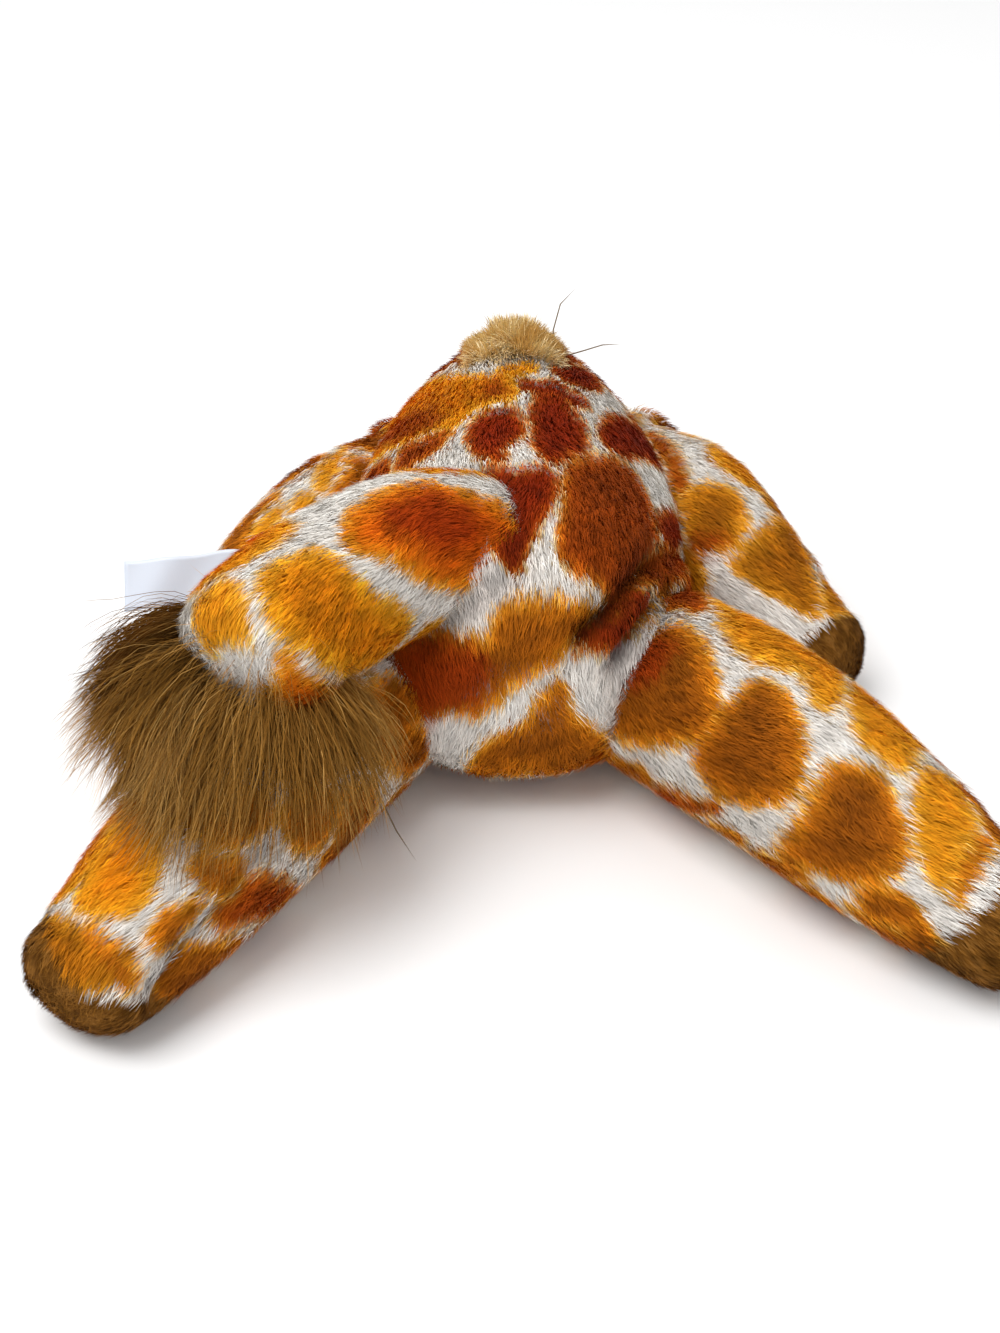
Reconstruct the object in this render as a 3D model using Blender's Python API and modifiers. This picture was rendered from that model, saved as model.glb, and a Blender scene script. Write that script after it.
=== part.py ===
"""A stuffed plush giraffe that lies on its belly, its legs splayed and its tail over one rear leg.

The giraffe faces +Y with its left side at -X, and the floor is z = 0. Every soft piece is a fur fabric skin
round its own stuffing. A leg, the tail or the neck starts with a ball end in a socket of the torso, which is
how the stuffing gives way when a limb is moved.
"""

import math

import bmesh
import bpy
from mathutils import Matrix, Vector

# Fabrics and gaps
FUR_THICKNESS = 0.005
SHORT_PILE_THICKNESS = 0.003
SEAM_GAP = 0.0003
SOCKET_GAP = 0.0006
FLAT_DEPTH = 0.0005
TAPER_ROOM = 0.001
BALL_SHARE = 0.93
HIP_BALL_SHARE = 0.905
HEAD_BALL_SHARE = 0.915

# Torso
TORSO_LENGTH = 0.215
TORSO_WIDTH = 0.150
TORSO_HEIGHT = 0.128
TORSO_REAR = 0.108

# Rear legs
HIP_SIDE = 0.048
HIP_BACK = 0.060
HIP_HEIGHT = 0.040
HIP_RADIUS = 0.037
REAR_LEG_LENGTH = 0.203
THIGH_RADIUS = 0.0385
REAR_LEFT_SPLAY = math.radians(30)
REAR_RIGHT_SPLAY = math.radians(42)
REAR_SWING_OUT = math.radians(25)
REAR_SWING_IN = math.radians(10)

# Front legs
SHOULDER_SIDE = 0.050
SHOULDER_FORWARD = 0.082
SHOULDER_HEIGHT = 0.040
SHOULDER_RADIUS = 0.034
FRONT_LEG_LENGTH = 0.150
FOREARM_RADIUS = 0.0365
FRONT_SPLAY = math.radians(41)
FRONT_SWING_OUT = math.radians(45)
SWING_ROOM = math.radians(1.5)

# Ankles and hooves, alike on all legs
ANKLE_RADIUS = 0.0285
HOOF_RADIUS = 0.0272
HOOF_LENGTH = 0.036

# Tail
TAIL_SIDE = -0.004
TAIL_BACK = 0.050
TAIL_HEIGHT = 0.1105
TAIL_RADIUS = 0.032
TAIL_LENGTH = 0.130
TAIL_START_SPLAY = math.radians(68)
TAIL_END_SPLAY = math.radians(18)
TAIL_LIFT = math.radians(60)
TAIL_BEND_ROOM = 0.006
TUFT_LENGTH = 0.100
TUFT_WIDTH = 0.100
TUFT_THICKNESS = 0.040
TUFT_OVERLAP = 0.018

# Neck
NECK_FORWARD = 0.098
NECK_HEIGHT = 0.086
NECK_ROOT_RADIUS = 0.031
NECK_END_RADIUS = 0.0225
NECK_LENGTH = 0.075
NECK_START_PITCH = math.radians(-34)
NECK_END_PITCH = math.radians(-42)
NECK_LIFT = math.radians(50)
MANE_WIDTH = 0.016
MANE_HEIGHT = 0.012
WITHERS_TUFT_LENGTH = 0.040
WITHERS_TUFT_FORWARD = 0.060

# Head
HEAD_LENGTH = 0.092
HEAD_WIDTH = 0.070
HEAD_HEIGHT = 0.068
HEAD_TURN = math.radians(25)
HEAD_OVERLAP = 0.006
EAR_LENGTH = 0.032
EAR_WIDTH = 0.020
EAR_THICKNESS = 0.006
EAR_SWEEP = math.radians(29)
EAR_DROOP = math.radians(6)
HORN_LENGTH = 0.024
HORN_RADIUS = 0.0045
HORN_SPREAD = math.radians(12)
HORN_SWEEP = math.radians(16)
EYE_RADIUS = 0.006
EYE_HEIGHT = 0.004
EYE_RISE = math.radians(24)
SHANK_RADIUS = 0.0022
SHANK_LENGTH = 0.0102
WASHER_RADIUS = 0.0065
WASHER_THICKNESS = 0.0012

# Pellet pouches
BELLY_POUCH_LENGTH = 0.090
BELLY_POUCH_WIDTH = 0.060
BELLY_POUCH_HEIGHT = 0.022

# Care label
LABEL_LENGTH = 0.085
LABEL_WIDTH = 0.020
LABEL_THICKNESS = 0.0004
LABEL_FORWARD = -0.022
LABEL_HEIGHT = 0.0545
LABEL_LEAN = math.radians(50)
LABEL_CURL = 0.003

# Mesh resolution
TORSO_SIDES = 12
LIMB_SIDES = 8
SOCKET_SEGMENTS = 20
SOCKET_STEPS = 4
SMALL_SEGMENTS = 12
EAR_RINGS = 8

UP = Vector((0, 0, 1))
FORWARD = Vector((0, 1, 0))
SIDEWAYS = Vector((1, 0, 0))


def fresh_scene():
    """Two empty collections: the giraffe's pieces, and the shapes that cut them."""
    for old in list(bpy.data.objects):
        bpy.data.objects.remove(old)
    made = []
    for name in ("plush_giraffe", "cutters"):
        collection = bpy.data.collections.new(name)
        bpy.context.scene.collection.children.link(collection)
        made.append(collection)
    return made


parts, cutters = fresh_scene()


def material(name, colour, roughness):
    """A plain Principled material."""
    made = bpy.data.materials.new(name)
    made.use_nodes = True
    shader = made.node_tree.nodes["Principled BSDF"]
    shader.inputs["Base Color"].default_value = (*colour, 1)
    shader.inputs["Roughness"].default_value = roughness
    shader.inputs["Metallic"].default_value = 0
    return made


PATTERNED_FUR = material("patterned_fur", (0.58, 0.20, 0.02), 0.95)
SHORT_PILE = material("short_pile", (0.19, 0.07, 0.01), 0.95)
LONG_PILE = material("long_pile", (0.28, 0.15, 0.04), 0.9)
STUFFING = material("stuffing", (0.85, 0.85, 0.85), 1.0)
PELLETS = material("pellet_pouch", (0.75, 0.74, 0.70), 0.9)
SATIN = material("satin_label", (0.88, 0.88, 0.90), 0.35)
BLACK_PLASTIC = material("eye_plastic", (0.01, 0.008, 0.007), 0.12)
WHITE_PLASTIC = material("washer_plastic", (0.80, 0.80, 0.78), 0.5)


# Bodies: an empty on each joint, which carries the pieces that move about it


def body(name, place):
    """An empty at a joint, in world coordinates."""
    pivot = bpy.data.objects.new(name, None)
    pivot.empty_display_size = HIP_RADIUS
    pivot.location = place
    parts.objects.link(pivot)
    return pivot


def finish(obj, pivot, surface, smooth=True):
    """Gives a piece its material and shading, and its origin on the joint of the body that carries it."""
    obj.data.materials.clear()
    obj.data.materials.append(surface)
    if smooth:
        obj.data.shade_smooth()
    obj.data.transform(Matrix.Translation(-pivot.location))
    obj.parent = pivot
    return obj


def cutter(obj):
    """Marks a shape that only cuts others."""
    parts.objects.unlink(obj)
    cutters.objects.link(obj)
    obj.hide_render = True
    obj.display_type = "WIRE"
    return obj


def cut(obj, *tools):
    """Takes the tools away from a piece, each by its own Boolean modifier."""
    for tool in tools:
        step = obj.modifiers.new("cut_" + tool.name, "BOOLEAN")
        step.object = tool
        step.operation = "DIFFERENCE"
        step.solver = "EXACT"
    return obj


def object_from(bm, name):
    """A new object from a bmesh, in world coordinates."""
    mesh = bpy.data.meshes.new(name)
    bm.to_mesh(mesh)
    bm.free()
    made = bpy.data.objects.new(name, mesh)
    parts.objects.link(made)
    return made


# Soft forms: a cage of rings along a path, rounded by subdivision


class Ring:
    """One station of a soft form: where it is, which way the form runs and how wide and high it is."""

    def __init__(self, centre, along, half_width, half_height=None):
        self.centre = Vector(centre)
        self.along = Vector(along).normalized()
        self.half_width = half_width
        self.half_height = half_width if half_height is None else half_height

    def inset(self, depth):
        """The same station of a form that lies this much deeper."""
        return Ring(self.centre, self.along, self.half_width - depth, self.half_height - depth)

    def moved(self, distance):
        """The same station, shifted along the form."""
        return Ring(self.centre + self.along * distance, self.along, self.half_width, self.half_height)


def cage_growth(sides):
    """How much larger a cage is than the form, because subdivision draws a ring of straight sides in."""
    return 3 / (2 + math.cos(2 * math.pi / sides))


def ring_points(ring, sides, flat_share, ridge_share):
    """The cage points round one station. A flat underside and a ridged top are shares of a round ring."""
    side = ring.along.cross(UP).normalized()
    up = side.cross(ring.along)
    growth = cage_growth(sides)
    points = []
    for i in range(sides):
        angle = 2 * math.pi * (i + 0.5) / sides
        across, rise = math.cos(angle), math.sin(angle)
        if rise < 0:
            rise = -abs(rise) ** (1 - flat_share)
        else:
            across *= 1 - ridge_share * rise
        points.append(
            ring.centre
            + side * across * ring.half_width * growth
            + up * rise * ring.half_height * growth
        )
    return points


def soft_form(name, rings, closed_start, closed_end, sides=LIMB_SIDES, flat_share=0.0, ridge_share=0.0):
    """A ring cage under one level of subdivision. An end that isn't closed is an open rim."""
    bm = bmesh.new()
    loops = []
    for ring in rings:
        loops.append([bm.verts.new(p) for p in ring_points(ring, sides, flat_share, ridge_share)])
    for low, high in zip(loops, loops[1:]):
        for i in range(sides):
            j = (i + 1) % sides
            bm.faces.new((low[i], high[i], high[j], low[j]))
    if closed_start:
        bm.faces.new(loops[0])
    if closed_end:
        bm.faces.new(reversed(loops[-1]))
    made = object_from(bm, name)
    rounding = made.modifiers.new("rounding", "SUBSURF")
    rounding.levels = 1
    rounding.render_levels = 1
    return made


def deeper(rings, depth):
    """The rings of a form that lies this deep inside another, at both ends too."""
    made = [ring.inset(depth) for ring in rings]
    made[0] = made[0].moved(depth)
    made[-1] = made[-1].moved(-depth)
    return made


def skin(name, rings, thickness, closed_start=False, closed_end=False, **shape):
    """A fabric skin of even thickness, whose outer face follows the rings."""
    made = soft_form(name, rings, closed_start, closed_end, **shape)
    cloth = made.modifiers.new("cloth", "SOLIDIFY")
    cloth.thickness = thickness
    cloth.offset = -1
    cloth.use_even_offset = True
    return made


def socket(name, centre, radius, ball_share, widest, over, under, along, axis, half_angle, reach):
    """The room that a limb needs in its larger neighbour: a round socket that opens into a flared mouth.

    The mouth opens along the middle of the swing and flares by half_angle in the plane of the swing. Along
    the hinge's axis it takes in the limb, which swells from its ball to reach over and under the joint.
    """
    side = axis.cross(along).normalized()
    facet_growth = 1 / math.cos(math.pi / SOCKET_SEGMENTS)
    polar_step = (math.pi / 2 - half_angle) / SOCKET_STEPS
    round_radius = (radius * ball_share + SOCKET_GAP) * facet_growth / math.cos(polar_step / 2)
    mouth = (radius + SOCKET_GAP) * facet_growth
    wide = (widest + SOCKET_GAP) * facet_growth / math.cos(half_angle)
    high = (over + SOCKET_GAP) * facet_growth
    low = (under + SOCKET_GAP) * facet_growth
    swell_share, square_share = 0.4, 0.7
    swell = radius * swell_share
    slope = math.tan(half_angle)
    stations = []
    for i in range(1, SOCKET_STEPS + 1):
        half = round_radius * math.sin(polar_step * i)
        stations.append((-round_radius * math.cos(polar_step * i), half, half, half))
    stations += [
        (0, mouth / math.cos(half_angle), mouth, mouth),
        (swell, wide + swell * slope, high, low),
        (reach, wide + reach * slope, high, low),
    ]
    bm = bmesh.new()
    loops = []
    for distance, half_swing, reach_over, reach_under in stations:
        loop = []
        for i in range(SOCKET_SEGMENTS):
            angle = 2 * math.pi * i / SOCKET_SEGMENTS
            across, rise = math.cos(angle), math.sin(angle)
            if distance > 0:
                across = math.copysign(abs(across) ** square_share, across)
                rise = math.copysign(abs(rise) ** square_share, rise)
            offset = side * across * half_swing + axis * rise * (reach_over if rise > 0 else reach_under)
            loop.append(bm.verts.new(centre + along * distance + offset))
        loops.append(loop)
    for low, high in zip(loops, loops[1:]):
        for i in range(SOCKET_SEGMENTS):
            j = (i + 1) % SOCKET_SEGMENTS
            bm.faces.new((low[i], low[j], high[j], high[i]))
    bm.faces.new(reversed(loops[0]))
    bm.faces.new(loops[-1])
    bmesh.ops.recalc_face_normals(bm, faces=bm.faces)
    return cutter(object_from(bm, name + "_socket"))


def plan_direction(splay, side):
    """A level direction, turned by splay from straight back towards the left or the right."""
    return Vector((side * math.sin(splay), -math.cos(splay), 0))


# The floor: a soft form that lies on it is cut flat, half a millimetre deep


def floor_cutter():
    bm = bmesh.new()
    bmesh.ops.create_cube(bm, size=1)
    reach = 4 * TORSO_LENGTH
    depth = TORSO_HEIGHT
    bmesh.ops.scale(bm, vec=(reach, reach, depth), verts=bm.verts)
    bmesh.ops.translate(bm, vec=(0, 0, -depth / 2), verts=bm.verts)
    return cutter(object_from(bm, "floor"))


floor = floor_cutter()

# Joints

torso_body = body("torso_body", Vector((0, 0, 0)))
hips = {s: Vector((s * HIP_SIDE, -HIP_BACK, HIP_HEIGHT)) for s in (-1, 1)}
shoulders = {s: Vector((s * SHOULDER_SIDE, SHOULDER_FORWARD, SHOULDER_HEIGHT)) for s in (-1, 1)}
tail_root = Vector((TAIL_SIDE, -TAIL_BACK, TAIL_HEIGHT))
neck_root = Vector((0, NECK_FORWARD, NECK_HEIGHT))
SIDE_NAMES = {-1: "left", 1: "right"}

# Limbs


BALL_RING_SHARES = ((0.80, 0.44), (0.60, 0.74), (0.00, 1.00))


def ball_end(root, along, radius):
    """The first stations of a limb, from the pole of its ball to the ball's widest place."""
    return [Ring(root - along * depth * radius, along, width * radius) for depth, width in BALL_RING_SHARES]


def leg(name, root, splay, side, root_radius, thick_radius, length):
    """One leg: skin, stuffing, hoof cap and the pellet pouch in the hoof."""
    along = plan_direction(splay, side)
    pivot = body(name + "_body", root)
    seam = length - HOOF_LENGTH
    foot = Vector((root.x, root.y, 0))

    def station(distance, radius):
        return Ring(foot + along * distance + UP * (radius - FLAT_DEPTH), along, radius)

    thick_from_share, thick_to_share = 0.34, 0.64
    upper = ball_end(root, along, root_radius) + [
        station(seam * thick_from_share, thick_radius),
        station(seam * thick_to_share, thick_radius),
    ]
    skin_rings = upper + [station(seam - SEAM_GAP, ANKLE_RADIUS)]
    leg_skin = skin(name + "_skin", skin_rings, FUR_THICKNESS, closed_start=True)

    hoof_middle_share, hoof_end_share, tip_share = 0.55, 0.97, 0.55
    hoof_rings = [
        station(seam + SEAM_GAP, ANKLE_RADIUS),
        station(seam + HOOF_LENGTH * hoof_middle_share, HOOF_RADIUS),
        Ring(
            foot + along * (seam + HOOF_LENGTH * hoof_end_share) + UP * HOOF_RADIUS * hoof_end_share,
            along,
            HOOF_RADIUS * tip_share,
        ),
    ]
    hoof = skin(name + "_hoof", hoof_rings, SHORT_PILE_THICKNESS, closed_end=True)

    inset = FUR_THICKNESS + 2 * SEAM_GAP
    fill_end_share = 0.8
    fill_rings = ball_end(root, along, root_radius - inset - 2 * TAPER_ROOM)
    fill_rings += [ring.inset(inset) for ring in upper[len(fill_rings) :]]
    fill_rings += [
        station(seam, ANKLE_RADIUS).inset(inset),
        station(seam + SHORT_PILE_THICKNESS, HOOF_RADIUS * fill_end_share).inset(inset),
    ]
    fill = soft_form(name + "_fill", fill_rings, True, True)

    pouch_radius = HOOF_RADIUS - SHORT_PILE_THICKNESS - 2 * SEAM_GAP
    pouch_width_share, pouch_end_share = 0.78, 0.45
    pouch_start = seam + SHORT_PILE_THICKNESS - TAPER_ROOM
    pouch_end = length - 2 * SHORT_PILE_THICKNESS
    pouch_middle = (pouch_start + pouch_end) / 2
    middle_height = UP * HOOF_RADIUS
    pouch_rings = [
        Ring(foot + along * pouch_start + middle_height, along, pouch_radius * pouch_end_share),
        Ring(foot + along * pouch_middle + middle_height, along, pouch_radius * pouch_width_share),
        Ring(foot + along * pouch_end + middle_height, along, pouch_radius * pouch_end_share),
    ]
    pouch = soft_form(name + "_pouch", pouch_rings, True, True)

    finish(leg_skin, pivot, PATTERNED_FUR)
    finish(hoof, pivot, SHORT_PILE)
    finish(fill, pivot, STUFFING)
    finish(pouch, pivot, PELLETS)
    for piece in (leg_skin, hoof, fill):
        cut(piece, floor)


def tail_path(distance):
    """The middle line of the tail, which turns from sideways to back at a steady rate."""
    steps = 24
    place = tail_root.copy()
    for i in range(steps):
        share = (i + 0.5) / steps * distance / TAIL_LENGTH
        splay = TAIL_START_SPLAY + (TAIL_END_SPLAY - TAIL_START_SPLAY) * share
        place += plan_direction(splay, -1) * distance / steps
    splay = TAIL_START_SPLAY + (TAIL_END_SPLAY - TAIL_START_SPLAY) * distance / TAIL_LENGTH
    return place, plan_direction(splay, -1)


def tail():
    """The tail: skin closed at its end, stuffing and the long-pile tuft."""
    pivot = body("tail_body", tail_root)
    start = plan_direction(TAIL_START_SPLAY, -1)
    middle_shares, end_share = (0.30, 0.56, 0.80), 0.55
    middle = [Ring(*tail_path(TAIL_LENGTH * share), TAIL_RADIUS) for share in middle_shares]
    end = Ring(*tail_path(TAIL_LENGTH), TAIL_RADIUS * end_share)
    outer = ball_end(tail_root, start, TAIL_RADIUS) + middle + [end]
    tail_skin = skin("tail_skin", outer, FUR_THICKNESS, closed_end=True)

    inset = FUR_THICKNESS + 2 * SEAM_GAP
    inner = ball_end(tail_root, start, TAIL_RADIUS - inset - 2 * TAPER_ROOM)
    inner += [ring.inset(inset) for ring in middle]
    inner.append(end.inset(inset).moved(-inset - TAPER_ROOM))
    fill = soft_form("tail_fill", inner, True, True)

    end_place, end_along = tail_path(TAIL_LENGTH)
    tuft_centre = end_place + end_along * (TUFT_LENGTH / 2 - TUFT_OVERLAP)
    tuft_centre.z = TAIL_HEIGHT - TAIL_RADIUS + TUFT_THICKNESS / 2
    bm = bmesh.new()
    bmesh.ops.create_uvsphere(bm, u_segments=SOCKET_SEGMENTS, v_segments=SMALL_SEGMENTS - 2, radius=0.5)
    bmesh.ops.scale(bm, vec=(TUFT_WIDTH, TUFT_LENGTH, TUFT_THICKNESS), verts=bm.verts)
    turn = FORWARD.rotation_difference(-end_along).to_matrix().to_4x4()
    bmesh.ops.transform(bm, matrix=Matrix.Translation(tuft_centre) @ turn, verts=bm.verts)
    tuft = object_from(bm, "tail_tuft")
    around = cutter(soft_form("tail_envelope", deeper(outer, -2 * SEAM_GAP), True, True))
    cut(tuft, around)

    finish(tail_skin, pivot, PATTERNED_FUR)
    finish(fill, pivot, STUFFING)
    finish(tuft, pivot, LONG_PILE)


def neck_path(distance):
    """The middle line of the neck, which bends down from the withers to the floor."""
    steps = 24
    place = neck_root.copy()
    for i in range(steps):
        share = (i + 0.5) / steps * distance / NECK_LENGTH
        pitch = NECK_START_PITCH + (NECK_END_PITCH - NECK_START_PITCH) * share
        place += (FORWARD * math.cos(pitch) + UP * math.sin(pitch)) * distance / steps
    pitch = NECK_START_PITCH + (NECK_END_PITCH - NECK_START_PITCH) * distance / NECK_LENGTH
    return place, FORWARD * math.cos(pitch) + UP * math.sin(pitch)


head_root = neck_path(NECK_LENGTH)[0]
neck_body = body("neck_body", neck_root)
head_body = body("head_body", head_root)


def neck():
    """The neck, with a ball at each end: skin, stuffing and the mane along its top."""
    start = neck_path(0)[1]
    end_place, end_along = neck_path(NECK_LENGTH)
    root = ball_end(neck_root, start, NECK_ROOT_RADIUS)
    middle_shares = (0.36, 0.70)
    taper = NECK_END_RADIUS - NECK_ROOT_RADIUS
    middle = []
    for share in middle_shares:
        middle.append(Ring(*neck_path(NECK_LENGTH * share), NECK_ROOT_RADIUS + taper * share))
    far = ball_end(end_place, -end_along, NECK_END_RADIUS)
    end = [Ring(ring.centre, end_along, ring.half_width) for ring in reversed(far)]
    outer = root + middle + end
    neck_skin = skin("neck_skin", outer, FUR_THICKNESS)

    fill = soft_form("neck_fill", deeper(outer, FUR_THICKNESS + TAPER_ROOM), True, True)

    envelope = cutter(soft_form("neck_envelope", [ring.inset(-SEAM_GAP) for ring in outer], True, True))
    mane_shares = (0.22, 0.34, 0.50, 0.62)
    mane_rings = []
    for share in mane_shares:
        place, along = neck_path(NECK_LENGTH * share)
        radius = NECK_ROOT_RADIUS + taper * share
        up = SIDEWAYS.cross(along)
        mane_rings.append(Ring(place + up * radius, along, MANE_WIDTH / 2, MANE_HEIGHT))
    mane = cut(soft_form("mane_strip", mane_rings, True, True), envelope)

    finish(neck_skin, neck_body, PATTERNED_FUR)
    finish(fill, neck_body, STUFFING)
    finish(mane, neck_body, LONG_PILE)


def withers_tuft(envelope):
    """The start of the mane, where it stands on the torso."""
    ridge_share = 0.98
    bm = bmesh.new()
    bmesh.ops.create_uvsphere(bm, u_segments=SMALL_SEGMENTS, v_segments=SMALL_SEGMENTS, radius=0.5)
    bmesh.ops.scale(bm, vec=(MANE_WIDTH, WITHERS_TUFT_LENGTH, 2 * MANE_HEIGHT), verts=bm.verts)
    bmesh.ops.translate(bm, vec=(0, WITHERS_TUFT_FORWARD, TORSO_HEIGHT * ridge_share), verts=bm.verts)
    tuft = cut(object_from(bm, "withers_tuft"), envelope)
    finish(tuft, torso_body, LONG_PILE)


# Torso


def torso_station(share, width_share, bottom_share, top_share):
    """One station of the torso, from shares of its length, width and height."""
    low = TORSO_HEIGHT * bottom_share - FLAT_DEPTH
    high = TORSO_HEIGHT * top_share
    centre = Vector((0, TORSO_LENGTH * share - TORSO_REAR, (low + high) / 2))
    return Ring(centre, FORWARD, TORSO_WIDTH / 2 * width_share, (high - low) / 2)


TORSO_RING_SHARES = (
    (0.00, 0.42, 0.22, 0.66),
    (0.10, 0.78, 0.06, 0.88),
    (0.26, 0.97, 0.00, 0.98),
    (0.48, 1.00, 0.00, 1.00),
    (0.70, 0.96, 0.00, 1.00),
    (0.88, 0.80, 0.02, 0.97),
    (1.00, 0.42, 0.16, 0.78),
)
TORSO_SHAPE = {"sides": TORSO_SIDES, "flat_share": 0.35, "ridge_share": 0.22}


def torso(limb_room):
    """The torso: skin with an opening for each limb, stuffing with their sockets, and the belly pouch."""
    outer = [torso_station(*shares) for shares in TORSO_RING_SHARES]
    torso_skin = soft_form("torso_skin", outer, True, True, **TORSO_SHAPE)
    hollow = cutter(soft_form("torso_hollow", deeper(outer, FUR_THICKNESS), True, True, **TORSO_SHAPE))
    inner = deeper(outer, FUR_THICKNESS + 2 * SEAM_GAP)
    fill = soft_form("torso_fill", inner, True, True, **TORSO_SHAPE)

    envelope = [ring.inset(-SEAM_GAP) for ring in outer]
    around = cutter(soft_form("torso_envelope", envelope, True, True, **TORSO_SHAPE))

    pouch = belly_dome("belly_pouch", 0, 0)
    recess = cutter(belly_dome("belly_recess", SEAM_GAP, -SEAM_GAP))
    within = pouch.modifiers.new("within_the_skin", "BOOLEAN")
    within.object = cutter(soft_form("torso_inside", inner, True, True, **TORSO_SHAPE))
    within.operation = "INTERSECT"
    within.solver = "EXACT"
    cut(torso_skin, floor, hollow, *limb_room)
    cut(fill, recess, *limb_room)
    finish(torso_skin, torso_body, PATTERNED_FUR)
    finish(fill, torso_body, STUFFING)
    finish(pouch, torso_body, PELLETS)
    return around


def belly_dome(name, extra, low):
    """Half an ellipsoid that stands on the belly skin, or the room round it."""
    height = BELLY_POUCH_HEIGHT + extra
    base = FUR_THICKNESS + 2 * SEAM_GAP
    bm = bmesh.new()
    bmesh.ops.create_uvsphere(bm, u_segments=SMALL_SEGMENTS * 2, v_segments=SMALL_SEGMENTS, radius=1)
    size = (BELLY_POUCH_WIDTH / 2 + extra, BELLY_POUCH_LENGTH / 2 + extra, height)
    bmesh.ops.scale(bm, vec=size, verts=bm.verts)
    bmesh.ops.translate(bm, vec=(0, 0, base), verts=bm.verts)
    cut_at = Vector((0, 0, low))
    geometry = bm.verts[:] + bm.edges[:] + bm.faces[:]
    bmesh.ops.bisect_plane(bm, geom=geometry, plane_co=cut_at, plane_no=-UP, clear_outer=True)
    bmesh.ops.holes_fill(bm, edges=bm.edges)
    bmesh.ops.recalc_face_normals(bm, faces=bm.faces)
    return object_from(bm, name)


# Head


def head_station(share, width_share, height_share):
    """One station of the head, whose underside lies on the floor."""
    half_height = HEAD_HEIGHT / 2 * height_share
    back = head_root.y - HEAD_OVERLAP
    centre = Vector((0, back + HEAD_LENGTH * share, half_height - FLAT_DEPTH))
    return Ring(centre, FORWARD, HEAD_WIDTH / 2 * width_share, half_height)


HEAD_RING_SHARES = ((0.00, 0.80, 0.84), (0.22, 1.00, 1.00), (0.44, 0.94, 0.92), (0.64, 0.74, 0.72))
MUZZLE_RING_SHARES = ((0.64, 0.74, 0.72), (0.84, 0.72, 0.66), (0.99, 0.46, 0.42))


def head():
    """The head: skin, stuffing, short-pile muzzle, ears, horns and safety eyes with their washers."""
    outer = [head_station(*shares) for shares in HEAD_RING_SHARES]
    outer[-1] = outer[-1].moved(-SEAM_GAP)
    nose = [head_station(*shares) for shares in MUZZLE_RING_SHARES]
    nose[0] = nose[0].moved(SEAM_GAP)
    head_skin = skin("head_skin", outer, FUR_THICKNESS)
    muzzle = skin("muzzle", nose, SHORT_PILE_THICKNESS, closed_end=True)

    inset = FUR_THICKNESS + 2 * SEAM_GAP
    inner = deeper(outer + nose[1:], inset + TAPER_ROOM)
    inner[-3] = inner[-3].inset(2 * TAPER_ROOM)
    fill = soft_form("head_fill", inner, True, True)
    room = socket(
        "head",
        head_root,
        NECK_END_RADIUS,
        HEAD_BALL_SHARE,
        NECK_ROOT_RADIUS,
        NECK_ROOT_RADIUS,
        NECK_ROOT_RADIUS,
        -neck_path(NECK_LENGTH)[1],
        SIDEWAYS.cross(neck_path(NECK_LENGTH)[1]),
        HEAD_TURN + 2 * SWING_ROOM,
        HEAD_LENGTH,
    )
    envelope = [ring.inset(-SEAM_GAP) for ring in outer]
    around = cutter(soft_form("head_envelope", envelope, True, True))
    cut(head_skin, floor, room)
    cut(muzzle, floor)
    cut(fill, room)

    for side in (-1, 1):
        ear(side, around)
        horn(side, around)
        eye(side, around, head_skin, fill)
    finish(head_skin, head_body, PATTERNED_FUR)
    finish(muzzle, head_body, SHORT_PILE)
    finish(fill, head_body, STUFFING)


def ear(side, around):
    """A flat leaf of fabric that droops from the side of the head."""
    name = "ear_" + SIDE_NAMES[side]
    along_share, rise_share, out_share, centre_share = 0.16, 0.45, 0.88, 0.38
    place = head_station(along_share, 1, 1)
    level = SIDEWAYS * side * math.cos(EAR_SWEEP) - FORWARD * math.sin(EAR_SWEEP)
    direction = level * math.cos(EAR_DROOP) - UP * math.sin(EAR_DROOP)
    root = place.centre + UP * place.half_height * rise_share
    root += SIDEWAYS * side * place.half_width * out_share
    bm = bmesh.new()
    bmesh.ops.create_uvsphere(bm, u_segments=SMALL_SEGMENTS, v_segments=EAR_RINGS, radius=0.5)
    bmesh.ops.scale(bm, vec=(EAR_LENGTH, EAR_WIDTH, EAR_THICKNESS), verts=bm.verts)
    turn = SIDEWAYS.rotation_difference(direction).to_matrix().to_4x4()
    centre = root + direction * EAR_LENGTH * centre_share
    bmesh.ops.transform(bm, matrix=Matrix.Translation(centre) @ turn, verts=bm.verts)
    finish(cut(object_from(bm, name), around), head_body, PATTERNED_FUR)


def horn(side, around):
    """A short fabric horn with a knob."""
    name = "horn_" + SIDE_NAMES[side]
    along_share, out_share, rise_share = 0.30, 0.36, 0.80
    place = head_station(along_share, 1, 1)
    lean = SIDEWAYS * side * math.tan(HORN_SPREAD) - FORWARD * math.tan(HORN_SWEEP)
    direction = (UP + lean).normalized()
    root = place.centre + UP * place.half_height * rise_share
    root += SIDEWAYS * side * place.half_width * out_share
    turn = UP.rotation_difference(direction)
    profile_shares = ((0.0, 1.0), (0.62, 0.9), (0.74, 1.25), (0.88, 1.33), (0.97, 0.9), (1.0, 0.0))
    made = turned(name, [(HORN_RADIUS * width, HORN_LENGTH * height) for height, width in profile_shares])
    made.data.transform(Matrix.Translation(root) @ turn.to_matrix().to_4x4())
    finish(cut(made, around), head_body, SHORT_PILE)


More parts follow.
